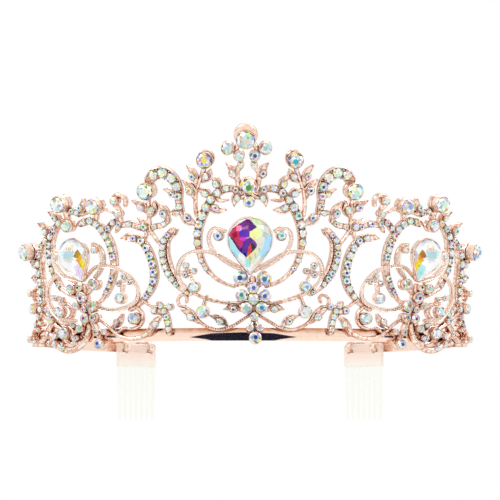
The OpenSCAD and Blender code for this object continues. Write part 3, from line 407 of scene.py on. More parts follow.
# %% Smooth lines
def smooth_line(points, step=0.45):
    """Even points on a smooth curve through the given ones, and each one's share of the length."""
    p = np.asarray(points, float)
    n = len(p) - 1
    t = np.linspace(0, 1, 12, endpoint=False)[:, None]
    runs = []
    for i in range(n):
        a, b, c, d = p[max(i - 1, 0)], p[i], p[i + 1], p[min(i + 2, n)]
        runs.append(0.5 * (2 * b + (c - a) * t + (2 * a - 5 * b + 4 * c - d) * t ** 2
                           + (3 * b - a - 3 * c + d) * t ** 3))
    fine = np.vstack(runs + [p[-1:]])
    run = np.concatenate([[0], np.cumsum(np.linalg.norm(np.diff(fine, axis=0), axis=1))])
    share = np.linspace(0, 1, max(3, int(run[-1] / step) + 1))
    return np.stack([np.interp(share * run[-1], run, fine[:, k]) for k in (0, 1)], 1), share, run[-1]


print("fourth point of a line:", smooth_line([(0, 0), (4, 3), (9, 4)])[0][3].round(2))

# %% [markdown]
# ## The pattern, as a goldsmith's list
# Each scroll is a list of points, its width at the start, middle and end, its number of stones, and its edge:
# -1 or 1 puts a polished rail on that side, and 2 puts a row of tiny beads along its top.
# Each leaf is a root, a tip, a width and the width of its stone.
# Each round is a place, a stone width and a cup height, and each pad is a place and a stone width.
# The lists hold the right half. The left half is its mirror image,
# and the centre column leans a little, as it does on the real one.

# %% Lists for the crown's centre
low_cup, deep_cup, large_stone, crest_stone = 1.1, 2.6, 4.5, 5.1
pear_w, pear_l, side_pear_w, side_pear_l = 12.0, 15.6, 9.2, 12.0
frame_scrolls = [
    [[[2.6, 40.5], [4.2, 41.5], [6.4, 41.5], [8.6, 40.2], [10.4, 38], [11.7, 35.7], [12.8, 33.4],
      [13.5, 30.8], [13.8, 28], [13.6, 25.2], [13, 22.6], [12.1, 20.6], [11, 18.9]], [1.8, 2.5, 1.3], 12, -1],
    [[[11.4, 19.6], [9.4, 17.4], [7, 15.9], [4.4, 15]], [1.3, 1.2, 1.2], 0]
]
frame_leaves = [
    [[11.2, 37], [6, 35.8], 2, 1.7],
    [[10, 39.4], [5.3, 38.5], 1.2, 0],
    [[2.6, 40.9], [4.1, 36.7], 2, 1.7]
]
crest_top = [0, 55.6]
crest_hold = 1.5
crest_scrolls = [
    [[[2.2, 41], [2.6, 43.6], [3, 45.6], [1.8, 47.8], [1.9, 50.1], [2.6, 51.8],
      [1.4, crest_top[1] - crest_hold]],
     [1.6, 1.8, 1.4], 0],
    [[[2, 50.8], [3.4, 51.7], [4.6, 52.4]], [1.6, 1.6, 2], 0],
    [[[0, 41], [0.8, 39.6], [2.8, 39]], [1.6, 1.6, 1.2], 0]
]
crest_leaves = [[[2.7, 43.4], [5.3, 48.4], 2.2, 1.9]]
crest_rounds = [
    [4.6, 52.4, 3.3, low_cup], [1.95, 50.4, 2.8, low_cup], [1.65, 47.8, 1.6, low_cup]
]
column_rounds = [
    [0, 42.3, large_stone, low_cup], [0, 38.1, 3, low_cup], [0, 14.6, 2.8, low_cup],
    [0, 11.4, 2.6, low_cup], [0, 6.6, 1.9, low_cup], [0, 0.6, 2.7, low_cup]
]
cradle_scrolls = [
    [[[20.6, 30.2], [22.4, 27.8], [22.9, 25.2], [22.8, 23], [22.2, 20.3], [20.8, 17.5], [19, 15.3],
      [16.4, 13.3]], [2.2, 3.1, 2], 0]
]
bar_scrolls = [
    [[[-17.2, 14.4], [-13, 12.2], [-9, 10.9], [-4.6, 10.4], [0, 10.3], [4.6, 10.4], [9, 10.9], [13, 12.2],
      [17.2, 14.4]], [1.2, 1.2, 1.2], 0]
]
cradle_rows = [
    [[[21.2, 30], [22.9, 28], [23.5, 25.6], [23.4, 23], [22.8, 20.4], [21.6, 17.9], [19.9, 15.7],
      [17.9, 13.9], [16.2, 12.9]], [1.6, 2.1, 1.2], 11]
]
cradle_leaves = [[[21.8, 28.9], [19, 30.8], 1.2, 0]]
drop_scrolls = [[[[13.8, 8], [13.4, 10.4], [12.6, 12.2]], [1.4, 1.2, 1], 0]]
drop_rounds = [[13.8, 8, 3.1, low_cup]]
stem_scrolls = [[[[0, 17], [0, 12], [0, 6], [0, 0.8]], [2, 2.4, 1.6], 0]]
foot_scrolls = [
    [[[0, 14.4], [1.8, 15.6], [3.1, 17.2], [4.2, 15.4]], [1.6, 1.8, 1.4], 0],
    [[[0, 11.6], [3.1, 12.4]], [1.8, 1.8, 1.8], 0],
    [[[0, 10], [2, 8.9], [3.8, 8.5]], [1.6, 1.8, 1.2], 0],
    [[[0, 5], [1.35, 3.5]], [1.4, 1.4, 1.4], 0],
    [[[0.6, 7.4], [3.8, 5.4], [6.6, 3.8], [9.8, 3.1], [12.9, 3.9], [15.2, 5.6], [16.6, 7.8], [18.6, 9.4],
      [20.2, 9.8], [20.6, 11.6], [19.2, 12.8], [18, 12], [18.3, 10.8]], [0.9, 1, 0.9], 0, 2]
]
foot_leaves = [
    [[3.4, 8.6], [8.2, 8.6], 2, 1.7],
    [[7.2, 3.8], [12.2, 7], 1.9, 1.6],
    [[15.4, 5], [19.8, 8.6], 2.1, 1.8]
]
foot_rounds = [
    [3.1, 17.2, 3.3, low_cup], [3.1, 12.4, 2.9, low_cup], [2, 8.9, 2.8, low_cup], [1.35, 3.5, 1.6, low_cup]
]
print("centre:", len(frame_scrolls + crest_scrolls + cradle_scrolls + foot_scrolls), "scrolls on each side")

# %% Lists for the sprays, plumes and crescents
spray_scrolls = [
    [[[11, 49], [12, 45.8], [13.1, 43], [13.9, 40.2], [14.2, 37.4], [14, 34.6]], [1.6, 1, 1.3], 0]
]
spray_leaves = [
    [[12, 43.4], [9.9, 46.9], 2.1, 1.8],
    [[7.7, 41], [9.9, 45.2], 2, 1.7],
    [[9.9, 39.4], [13.7, 41.4], 2, 1.7],
    [[13.7, 42.6], [15.9, 48], 1.9, 1.6],
    [[14.2, 38.8], [17.2, 44.2], 2.2, 1.9]
]
spray_rounds = [[11, 49.6, large_stone, deep_cup]]
plume_scrolls = [
    [[[25.6, 44.6], [23.9, 46.2], [21.5, 46.1], [19.4, 44.2], [18.4, 41.4], [18.5, 38.3], [18, 35.6]],
     [3, 2.6, 1.7], 6, -1],
    [[[26.4, 40.6], [26.8, 36.6], [26.8, 33.6], [26.6, 30.8], [25.2, 28.2], [23.4, 26]], [1.2, 1.2, 1], 0],
    [[[21.6, 33.2], [23.3, 32], [25.3, 31.7], [26.6, 31]], [1.5, 1.7, 1.5], 2],
    [[[25, 44.2], [26.2, 42.4]], [1.6, 1.6, 1.6], 0]
]
plume_leaves = [
    [[18.6, 39.1], [22.2, 41.8], 1.8, 1.4],
    [[18.4, 35.6], [13.7, 31.8], 2.2, 1.9],
    [[17.8, 35.4], [21.4, 34.8], 1.6, 1.4],
    [[26.6, 34.2], [25, 38.7], 2.1, 1.8],
    [[27, 35.4], [31, 39], 2.1, 1.8],
    [[21.6, 32.6], [24.2, 38.4], 2.1, 1.8],
    [[26.8, 29.8], [29.8, 34.2], 2.2, 1.8]
]
plume_rounds = [[26.5, 41.6, large_stone, deep_cup]]
crescent_scrolls = [
    [[[32.6, 28.8], [29.9, 28.4], [27.9, 26], [26.8, 23.4], [26.2, 20.8], [26, 18.2], [26.5, 15.8],
      [27.7, 13.6], [29.2, 11.8], [31, 10.3], [33.2, 9]], [1.9, 2.4, 1.2], 11],
    [[[28.4, 31.2], [30.4, 32], [32.4, 32.7], [34.4, 32.5], [36.4, 33.5]], [1.6, 1.8, 1.5], 3],
    [[[33.1, 37.9], [33, 39.4], [34.4, 40.6], [36, 40.1], [36.3, 38.5], [35.2, 36.8], [35, 34.8],
      [34.6, 32.8]], [1.2, 1.8, 1.2], 0],
    [[[35.2, 35.4], [37.2, 36.2], [39.6, 37.4]], [1, 0.9, 1.2], 0],
    [[[28.8, 31.4], [27.8, 29.8], [28.8, 27.8]], [1.2, 1.1, 1.2], 0]
]
crescent_leaves = [
    [[31, 28.5], [35, 28.8], 2, 0],
    [[34.6, 32.8], [36.4, 30.4], 1.2, 0]
]
crescent_rounds = [[35.7, 39.2, 2, low_cup], [35, 35.6, 1.8, low_cup]]
print("beside the centre:", len(spray_leaves + plume_leaves + crescent_leaves), "leaves on each side")

# %% Lists for the side medallions and their feet
side_scrolls = [
    [[[46.6, 33.4], [45, 34], [43, 33.9], [41, 32.2], [39.5, 29.8], [38.4, 27.4], [37.8, 24.8], [37.6, 22.2],
      [37.9, 19.6], [38.5, 17.4], [39.5, 15.2], [40.8, 13.2]], [1.9, 2.4, 1.5], 13],
    [[[40.8, 13.2], [42.4, 11.6], [44.4, 10.6]], [1.2, 1.1, 1.4], 0],
    [[[36, 33.7], [37.5, 32.9], [39.2, 31]], [1.6, 1.7, 1.6], 2],
    [[[42.2, 34], [41.6, 36.4], [41.3, 38]], [1.6, 1.4, 1.6], 0],
    [[[42.6, 37.2], [45, 36.2], [47, 36.1]], [1.1, 1, 1.2], 0],
    [[[46.8, 36], [48.2, 37], [49.8, 37]], [1.6, 1.7, 1.6], 2],
    [[[49.8, 37], [51, 36.4], [51.6, 39]], [1.5, 1.8, 1.8], 0],
    [[[51.4, 37], [50.8, 34.6], [50.6, 33.1], [52.4, 34.6]], [1.8, 1.8, 1.6], 0],
    [[[52.4, 34.6], [54.4, 33.4], [56.2, 31.2], [57.4, 28.6], [57.9, 25.8], [57.8, 23], [57.3, 20.2],
      [56.4, 17.8], [55, 15.6]], [1.7, 2.3, 1.3], 9],
    [[[55, 15.6], [53, 14.2], [50.6, 13.2], [48, 12.6]], [1.3, 1.1, 1.4], 0]
]
side_leaves = [
    [[45.4, 33.8], [48.2, 32.8], 1.6, 0],
    [[47.1, 35.8], [45.2, 40.2], 2, 1.5],
    [[53.4, 34], [56.4, 37.4], 1.8, 1.5],
    [[56.8, 30.2], [60.6, 34.6], 2.2, 1.9]
]
side_rounds = [
    [41.3, 38.1, 4.2, deep_cup], [51.6, 39.4, large_stone, deep_cup], [50.6, 33.1, 3.3, low_cup]
]
side_foot_scrolls = [
    [[[47.6, 15.8], [47.2, 12.6], [46.2, 9.4], [45, 6], [43.4, 2.8], [42.4, -0.3]], [2, 2.2, 1.5], 0],
    [[[47.2, 13.4], [45.4, 15], [43.7, 16.4]], [1.4, 1.4, 1.6], 0],
    [[[47.4, 14.4], [49, 15.5], [50.9, 15.6]], [1.4, 1.6, 1.6], 0],
    [[[46.6, 10.6], [44.4, 10.4]], [1.6, 1.6, 1.6], 0],
    [[[46.8, 11.4], [49.5, 10.5]], [1.4, 1.4, 1.4], 0],
    [[[45.2, 6.8], [46.7, 6.8], [48.4, 4.1]], [1.6, 1.6, 1.4], 0],
    [[[43.6, 3.2], [40.7, 2.9]], [1.2, 1.2, 1.2], 0]
]
side_foot_rounds = [
    [43.7, 16.4, 3, low_cup], [48.3, 15.6, 1.9, low_cup], [50.9, 15.4, 2.6, low_cup],
    [47.6, 12.7, 2.9, low_cup], [44.4, 10.4, 3.1, low_cup], [49.5, 10.5, 2, low_cup],
    [47, 9.3, 1.6, low_cup], [43.9, 7, 2.4, low_cup], [46.7, 6.8, 2.4, low_cup], [48.4, 4.1, 2, low_cup],
    [43.2, 2.8, 1.6, low_cup], [40.7, 2.9, 1.5, low_cup], [42.3, -0.5, 2.6, low_cup]
]
print("side medallions:", len(side_scrolls + side_foot_scrolls), "scrolls each")

# %% Lists for the ends and the hem
end_scrolls = [
    [[[57.6, 30.4], [60.4, 28.2], [62, 25.4], [62.8, 22.4], [62.9, 19.2], [62.6, 16], [62.8, 12.8],
      [63.8, 9.8], [65.6, 7.2], [67.4, 5]], [1.7, 2.3, 1.4], 11],
    [[[61.4, 26.4], [63.4, 26.8], [65.2, 27]], [1.6, 1.6, 2], 0],
    [[[62.8, 15], [65, 16.6], [67.2, 15.8], [67.8, 13.6], [66.4, 12.4]], [1, 1.1, 1], 0, 2],
    [[[63.4, 10.4], [66.2, 10.6]], [1.4, 1.4, 1.4], 0],
    [[[67.4, 5], [69.4, 3.6], [69.2, 1.4], [67, 0.5], [64.6, 1], [62.4, 2.2]], [1.4, 1.1, 1], 0, 2]
]
end_leaves = [
    [[62.8, 22.2], [67.2, 24.2], 2, 1.7],
    [[63, 18.4], [67.4, 19.6], 2, 1.7]
]
end_rounds = [
    [65.2, 27, large_stone, deep_cup], [66.3, 10.6, 2.7, low_cup], [67.5, 15.2, 1.7, low_cup],
    [69.2, 1.9, 1.7, low_cup], [65.8, 0.6, 1.7, low_cup]
]
hem_scrolls = [
    [[[22.2, 2.4], [22.4, 5], [23, 7.4], [24, 9.2], [24.9, 10.4]], [1.7, 1.8, 1.5], 5],
    [[[23.4, 9.2], [21.9, 9.5]], [1.4, 1.5, 1.6], 0],
    [[[23.6, 8], [26.2, 8.5]], [1.4, 1.8, 2.2], 0],
    [[[24.6, 9.6], [27.2, 9.8], [29.4, 11.4]], [1, 0.9, 1], 0],
    [[[25.6, 5.2], [27.6, 2.8], [30.6, 1.2], [34, 0.9], [37.4, 2.2], [40.2, 4.6], [43, 6.6]],
     [1, 1.1, 1], 0, 2],
    [[[31.6, 9.8], [30, 8], [29.8, 5.8], [31, 4.2], [33, 3.6], [35.4, 3.8], [37.2, 2.4]],
     [1.1, 1, 0.9], 0, 2],
    [[[30, 6.6], [31.8, 6.4]], [1.2, 1.4, 1.6], 0],
    [[[46.2, 4.8], [47.2, 1.4], [49.6, -1], [52.8, -1.9], [56.2, -1], [58.6, 1.2], [60.8, 3.4], [63.4, 3]],
     [1.5, 1.9, 1.5], 0, 2],
    [[[49.4, 4.4], [51.4, 2.6], [53.7, 2.8], [57, 5], [60.4, 7.2], [63.4, 9]], [1.2, 1.6, 1.2], 0, 2],
    [[[51.4, 2.6], [50.2, -0.5]], [1, 1, 1], 0]
]
hem_leaves = [
    [[24.4, 7], [28, 1.4], 1.9, 1.6],
    [[38.8, 4], [35.6, 7.8], 1.8, 1.5],
    [[57, 5.4], [61.4, 8.2], 2, 1.7],
    [[55.8, 3.4], [59.6, 0.4], 1.8, 1.5]
]
hem_pads = [
    [21.9, 9.5, 1.7], [26.2, 8.5, 1.9], [50.7, 1, 1.5], [54.4, -1.5, 1.5], [57.6, 0.2, 1.4], [60.4, 3, 1.4]
]
# fine filigree of the lower corners, drawn only here
corner_scrolls = [
    [[[55.6, 11.4], [53, 11], [51.6, 9.1], [52.5, 7.3], [54.6, 6.6]], [1.1, 1.7, 1.1], 0],
    [[[54.3, 4.7], [52.8, 4.7], [51.5, 3.2], [51.9, 1.5]], [1, 1.4, 1], 0],
    [[[61.4, 10.8], [58.8, 8.6], [56, 6.5], [53.6, 5.9], [50.4, 4.8]], [1.3, 1.5, 1.3], 9],
    [[[47.2, 1.6], [50, -0.1], [52.6, 0.4], [53.6, 1.4]], [0.9, 1.1, 0.9], 0],
    [[[58.9, 5.8], [60.4, 4.2], [62, 2.2]], [1.6, 2, 1.2], 3]
]
corner_pads = [
    [50, 1.4, 1.3], [60, 0.4, 1.3], [57.2, -0.5, 1.3], [55, -0.4, 1.2], [63.8, 6.2, 1.3], [65.2, 4.4, 1.3]
]
hem_rounds = [[31.8, 6.4, 3.2, low_cup], [53.7, 2.8, 3, low_cup]]
print("ends and hem:", len(end_scrolls + hem_scrolls + corner_scrolls), "scrolls on each side")

# %% Lists for the overlaid wires
beside_pear = 0.7
curl_stone = 2.7
curl_s = pear_w / 2 + beside_pear + curl_stone / 2
curl_h = 29
curl_scrolls = [
    [[[curl_s - 1.6, curl_h + 1.2], [curl_s, curl_h + 2], [9.6, 30.7], [10.7, 29], [10.5, 26.6], [9.2, 24.2],
      [6.8, 22.2], [4.6, 20.8], [3, 20]], [1, 1.1, 1.2], 0],
    [[[1.2, 19.3], [2.8, 20.4], [5.4, 21.9], [8.6, 23.8], [12, 24.8], [15.4, 24.4], [18, 22.6],
      [19.2, 19.8], [18.9, 17], [17.4, 14.6]], [1.1, 1.1, 1.1], 0],
    [[[19, 18.9], [17.2, 18.8], [15, 19.3]], [1.1, 1.5, 1.5], 0],
    [[[17, 21], [16.6, 19]], [1.5, 1.3, 1.3], 0],
    [[[16.4, 18.8], [15.4, 16.8], [14.7, 14.9]], [1.2, 1, 1.4], 0]
]
curl_pads = [[14.9, 19.3, 1.6], [17, 20.9, 1.6], [17.1, 18.3, 1.6]]
curl_rounds = [[curl_s, curl_h, curl_stone, low_cup], [14.7, 14.9, 3, low_cup]]
side_pear_at = [48.3, 24.8]
side_curl_stone = 1.6
side_curl_room = side_pear_w / 2 + beside_pear + side_curl_stone / 2
side_curl_in = side_pear_at[0] - side_curl_room
side_curl_out = side_pear_at[0] + side_curl_room
side_curl_scrolls = [
    [[[side_curl_in, 26], [43.2, 27.4], [41.8, 27], [40.7, 25.2], [40.5, 22.8], [41.4, 20.4], [42.8, 18.6]],
     [1.3, 1.9, 1.4], 0],
    [[[46.6, 17.8], [45, 19.4], [43, 21], [40, 21.5], [36.4, 20.7], [33.2, 18.6], [31.1, 15.8],
      [30.4, 13], [31.6, 10.8], [34.8, 9.4], [38, 8.9], [40.6, 9.3], [42, 9.7]], [1, 1.1, 1.1], 0],
    [[[32, 17], [34.4, 16.9], [36, 16.3]], [1.1, 1.5, 1.5], 0],
    [[[34.4, 18.2], [34.6, 16.8], [35, 14.4], [35.2, 12.2]], [1.5, 1.2, 1.4], 0],
    [[[side_curl_out, 24.9], [55, 26], [55.8, 24.4], [55.4, 22], [54, 20.2], [51.8, 18.4], [49.6, 17.3]],
     [1.3, 1.8, 1.4], 0],
    [[[47.4, 17.6], [50.4, 18.4], [53.6, 19.2], [56.6, 18.6], [58.6, 16.4], [59, 13.2], [57.8, 10.2],
      [55.6, 7.6], [52.6, 6.5], [50, 6.4]], [1, 1.1, 1.1], 0],
    [[[58.8, 13.4], [56, 13], [53.9, 12.4]], [1.2, 1.5, 1.4], 0],
    [[[57.6, 10], [54.2, 9]], [1.2, 1.4, 1.6], 0]
]
side_curl_pads = [[32.8, 16.7, 1.4], [34.4, 18.3, 1.5], [35.9, 16.3, 1.5], [56, 13, 1.4], [53.9, 12.4, 1.3]]
side_curl_rounds = [
    [side_curl_in, 26, side_curl_stone, low_cup], [side_curl_out, 24.9, side_curl_stone, low_cup],
    [35.2, 12.2, 2.9, low_cup], [54.2, 9, 2.8, low_cup]
]
print("wires:", len(curl_scrolls + side_curl_scrolls), "on each side")

# %% Put a list on one half, straight or with the column's lean
SIDES = (("left", -1), ("right", 1))
COLUMN_LEAN, LEAN_FROM = math.radians(2.5), 33


def on_half(p, side, leaning=False):
    """A list point on the right half (side 1) or the left (side -1)."""
    return (side * p[0] - (math.tan(COLUMN_LEAN) * (p[1] - LEAN_FROM) if leaning else 0), p[1])


def scrolls_on(rows, side, leaning=False):
    """A list's scrolls on one half: points, widths, number of stones, edge and side."""
    return [([on_half(p, side, leaning) for p in points], widths, count, edge[0] if edge else 0, side)
            for points, widths, count, *edge in rows]


def leaves_on(rows, side, leaning=False):
    """A list's leaves on one half: root, tip, width, width of the stone and side."""
    return [(on_half(root, side, leaning), on_half(tip, side, leaning), w, stone, side)
            for root, tip, w, stone in rows]


def spots_on(rows, side, leaning=False):
    """A list's rounds or pads on one half: distance, height, width and, for rounds, the cup's height."""
    return [on_half(r, side, leaning) + tuple(r[2:]) for r in rows]


def on_both(put, rows, leaning=False):
    """A list put on the left half and then on the right."""
    return [r for _, side in SIDES for r in put(rows, side, leaning)]


print("crest sits at", on_half(crest_top, 1, True))

# %% [markdown]
# ## Shaping the metal
# A cast scroll is a ribbon with a profile: a channel with two rims where stones sit,
# a soft round where there are none, and a flat wire with two rails where it is laid over.
# Curves with a bevel would do on a flat sheet, but on a bent wall the profile has to follow the wall,
# so each ring of points is placed by the rule above.


# %% Skins over rings of points
class Bag:
    """Points and faces of one piece, gathered shell by shell, in mm."""

    def __init__(self):
        self.points, self.faces, self.count = [], [], 0

    def shell(self, rings):
        """A closed skin over rings of points, with flat ends."""
        n, k = rings.shape[:2]
        grid = (self.count + np.arange(n * k).reshape(n, k)).tolist()
        for a, b in zip(grid, grid[1:]):
            self.faces += [(a[j], a[(j + 1) % k], b[(j + 1) % k], b[j]) for j in range(k)]
        self.faces += [grid[0][::-1], grid[-1]]
        self.points.append(rings.reshape(-1, 3))
        self.count += n * k


print("ready to gather shells")

# %% From a bag to a piece
SHARP = math.radians(42)


def hand_over(made, nodes, body="tiara"):
    """Ties a finished piece to the body it moves with and the solids it stands for."""
    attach(made, body)
    if nodes:
        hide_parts(*nodes)
    return made


def outward(mesh):
    """Turns all faces of closed shells outward."""
    work = bmesh.new()
    work.from_mesh(mesh)
    bmesh.ops.recalc_face_normals(work, faces=work.faces[:])
    work.to_mesh(mesh)
    work.free()


def new_shape(name, points, edges=(), faces=()):
    """An object from points in mm."""
    mesh = bpy.data.meshes.new(name)
    mesh.from_pydata((np.asarray(points, float) * MM).tolist(), edges, faces)
    return new_object(name, mesh)


def smooth_skin(mesh):
    """Faces outward and smooth, with crisp edges only where the metal turns sharply."""
    outward(mesh)
    mesh.shade_smooth()
    mesh.set_sharp_from_angle(angle=SHARP)


def bag_piece(name, bag, finish, nodes, body="tiara"):
    """A smooth piece from a bag."""
    made = new_shape(name, np.vstack(bag.points), faces=bag.faces)
    smooth_skin(made.data)
    made.data.materials.append(finish)
    return hand_over(made, nodes, body)


print("edges stay crisp above", round(math.degrees(SHARP)), "degrees")


# %% Profiles: x is a share of half the width, z a share of the thickness
def turns(count):
    """Even angles round a circle."""
    return np.linspace(0, 2 * math.pi, count, endpoint=False)


def squared(value, power):
    """A power that keeps the sign. Below 1, it squares a circle up."""
    return math.copysign(abs(value) ** power, value)


CHANNEL = [(-.86, 0), (-1, .18), (-1, .82), (-.95, .96), (-.86, 1), (-.77, .95), (-.74, .86), (.74, .86),
           (.77, .95), (.86, 1), (.95, .96), (1, .82), (1, .18), (.86, 0)]
RAILED = [(-.9, 0), (-1.12, .2), (-1.14, .86), (-1.06, 1.06), (-.92, 1.12), (-.78, 1.06), (-.7, .88),
          (-.62, .84), (.76, .84), (.79, .95), (.87, 1), (.95, .96), (1, .82), (1, .18), (.86, 0)]
RIBBON = [(-.9, 0), (-1, .2), (-1, .84), (-.94, 1.02), (-.8, 1.1), (-.6, 1.1), (-.46, 1.02), (-.38, .94),
          (-.32, .9), (-.22, .9), (.84, .9), (.87, .95), (.92, 1), (.97, .96), (1, .82), (1, .18), (.88, 0)]
ROUNDED = [(squared(math.cos(a), .8), .5 + .5 * squared(math.sin(a), .8)) for a in turns(12) + math.pi / 12]
TWIN_RAIL = [(-.8, 0), (-1, .3), (-1, .8), (-.86, 1), (-.68, .96), (-.52, .78), (.52, .78), (.68, .96),
             (.86, 1), (1, .8), (1, .3), (.8, 0)]
LEAF = [(-.8, 0), (-1, .3), (-1, .78), (-.86, 1.02), (-.66, 1.0), (-.5, .88), (.5, .88), (.66, 1.0),
        (.86, 1.02), (1, .78), (1, .3), (.8, 0)]
print("profiles of", len(CHANNEL), len(RAILED), len(ROUNDED), "points")

# %% A profile drawn along a line
CAPS = np.radians([84, 58, 30])


def heading(path):
    """The way along a line at each of its points."""
    way = np.gradient(path, axis=0)
    return way / np.linalg.norm(way, axis=1)[:, None]


def sweep(bag, points, width, profile, low, high, side=1):
    """Draws a profile along a line on the wall, with round ends. width takes shares of the line's length."""
    path, share, _ = smooth_line(points)
    way, half, ends = heading(path), width(share) / 2, len(CAPS)
    squeeze = np.concatenate([np.cos(CAPS), np.ones(len(path)), np.cos(CAPS[::-1])])
    path = np.vstack([path[0] - np.outer(np.sin(CAPS), way[0]) * half[0], path,
                      path[-1] + np.outer(np.sin(CAPS[::-1]), way[-1]) * half[-1]])
    way = np.vstack([way[:1]] * ends + [way] + [way[-1:]] * ends)
    half = np.concatenate([half[:1]] * ends + [half] + [half[-1:]] * ends)
    place, along, rise, out = stand(path[:, 0], path[:, 1])
    across = (rise * way[:, :1] - along * way[:, 1:]) * side
    shape = np.asarray(profile)
    x = (half * squeeze)[:, None] * shape[:, 0]
    z = low + (high - low) * shape[:, 1]
    bag.shell(place[:, None] + across[:, None] * x[..., None] + out[:, None] * z[None, :, None])


def taper(widths):
    """Width along a scroll from its start, middle and end."""
    return lambda share: np.interp(share, [0, .5, 1], widths)


def leaf_width(w):
    """Width along a pointed leaf."""
    return lambda share: w * np.interp(share, [0, .1, .22, .34, .45, .56, .7, .84, .94, 1],
                                       [.3, .52, .8, .96, 1, .97, .8, .5, .24, .08])


print("a leaf 2 mm wide is", leaf_width(2)(0.7), "mm wide at 0.7 of its length")


# %% Turned parts and whole castings
def spot(s, h, level):
    """Frame of a spot on the wall at a level in front of it: place, right, up and out."""
    place, along, rise, out = (a[0] for a in stand(s, h))
    return place + out * level, along, rise, out


def turn_on(bag, frame_at, profile, steps):
    """Turns a profile of radius and height about a spot's outward axis."""
    place, along, rise, out = frame_at
    a = turns(steps)[:, None]
    ring = np.cos(a) * along + np.sin(a) * rise
    bag.shell(np.array([place + ring * r + out * z for r, z in profile]))


# thickness of a casting, and the back and front of a wire that is laid over
CAST_T, WIRE_D, WIRE_TOP = 1.8, 1.85, 2.85
# how much wider the scene draws wires and leaves than the drawing does
WIRE_WIDER, LEAF_WIDER = 1.08, 1.18
PAD_SIDES, LEAF_BOW, ROUND_MARGIN = 16, 0.1, 0.2


def casting(bag, scrolls, leaves, rounds, pads, wire):
    """Scrolls, leaves and pads of one casting. Gives back its beaded lines and their levels."""
    low, high = (WIRE_D, WIRE_TOP) if wire else (0, CAST_T)
    beaded = []
    for points, widths, count, edge, side in scrolls:
        railed = edge in (-1, 1)
        if wire:
            profile = TWIN_RAIL
        elif count:
            profile = RAILED if railed else CHANNEL
        else:
            profile = ROUNDED
        sweep(bag, points, taper(np.array(widths) * (WIRE_WIDER if wire else 1.0)), profile, low, high,
              side * (-edge if railed else 1))
        # beads lie between a wire's rails, or on the back of a round scroll
        if wire or edge == 2:
            beaded.append((points, low + (high - low) * (0.82 if wire else 0.97)))
    for root, tip, w, _, side in leaves:
        bow = LEAF_BOW * side * np.array([-(tip[1] - root[1]), tip[0] - root[0]])
        middle = (np.array(root) + np.array(tip)) / 2 + bow
        sweep(bag, [root, middle, tip], leaf_width(w * LEAF_WIDER), LEAF, low, high)
    for s, h, w, *_ in list(rounds) + list(pads):
        r, tall = w / 2 + ROUND_MARGIN, high - low
        turn_on(bag, spot(s, h, low), [(r * .9, 0), (r, .15), (r, tall - .15), (r * .94, tall)], PAD_SIDES)
    return beaded


print("pads have", PAD_SIDES, "sides")

# %% [markdown]
# ## Castings
# Twenty-one castings make the crown. On the bench they are cast flat, bent to the wall and soldered together.
# Each one is gathered here from its lists, so that it stands for exactly one solid of the drawing.

# %% Make the castings
makings = {
    "center_frame": (
        [r for _, k in SIDES for r in scrolls_on(frame_scrolls, k) + scrolls_on(crest_scrolls, k, True)],
        [r for _, k in SIDES for r in leaves_on(frame_leaves, k) + leaves_on(crest_leaves, k, True)],
        on_both(spots_on, crest_rounds, True) + spots_on(column_rounds[:2], 1, True)
        + spots_on([crest_top + [crest_stone]], 1, True), []),
    "center_cradle": (
        scrolls_on(bar_scrolls, 1) + on_both(scrolls_on, drop_scrolls, True),
        on_both(leaves_on, cradle_leaves), on_both(spots_on, drop_rounds, True), []),
    "center_foot": (
        scrolls_on(stem_scrolls, 1, True) + on_both(scrolls_on, foot_scrolls, True),
        on_both(leaves_on, foot_leaves, True),
        on_both(spots_on, foot_rounds, True) + spots_on(column_rounds[2:], 1, True), []),
}
halves = {
    "spray": (spray_scrolls, spray_leaves, spray_rounds, []),
    "plume": (plume_scrolls, plume_leaves, plume_rounds, []),
    "crescent": (crescent_scrolls, crescent_leaves, crescent_rounds, []),
    "side_frame": (side_scrolls, side_leaves, side_rounds, []),
    "side_foot": (side_foot_scrolls, [], side_foot_rounds, []),
    "end_scroll": (end_scrolls, end_leaves, end_rounds, []),
    "hem": (hem_scrolls + corner_scrolls, hem_leaves, hem_rounds, hem_pads + corner_pads),
    "curl": (curl_scrolls, [], curl_rounds, curl_pads),
    "side_curl": (side_curl_scrolls, [], side_curl_rounds, side_curl_pads),
}
for word, side in SIDES:
    for part, (rows, leaves, rounds, pads) in halves.items():
        makings[f"{word}_{part}"] = (scrolls_on(rows, side), leaves_on(leaves, side), spots_on(rounds, side),
                                     spots_on(pads, side))
beads = []
for node, making in makings.items():
    bag = Bag()
    wire = node.endswith("curl")
    beads += casting(bag, *making, wire)
    if node == "center_cradle":
        for points, widths, _, _, side in on_both(scrolls_on, cradle_scrolls):
            sweep(bag, points, taper(widths), RIBBON, 0, CAST_T, side)
    bag_piece(f"{node}_casting", bag, wire_plate if wire else polished_plate, [node])
print(len(makings), "castings,", len(beads), "beaded lines")

# %% [markdown]
# ## One tree that sets a shape on many points
# Stones, rims, claws and comb teeth are all one small shape put on many points.
# Copying the shape by hand would work, but a Geometry Nodes tree shows the rule:
# each point carries a turn, a size and its colours, and the shape is set on it.


# %% The tree
def geometry_tree(name, sockets):
    """A tree with a geometry in and out, a finish and other named inputs, and what it is given."""
    made = bpy.data.node_groups.new(name, "GeometryNodeTree")
    made.interface.new_socket("Geometry", in_out="INPUT", socket_type="NodeSocketGeometry")
    for label, kind in sockets + [("Finish", "NodeSocketMaterial")]:
        made.interface.new_socket(label, in_out="INPUT", socket_type=kind)
    made.interface.new_socket("Geometry", in_out="OUTPUT", socket_type="NodeSocketGeometry")
    return made, add(made, "NodeGroupInput").outputs


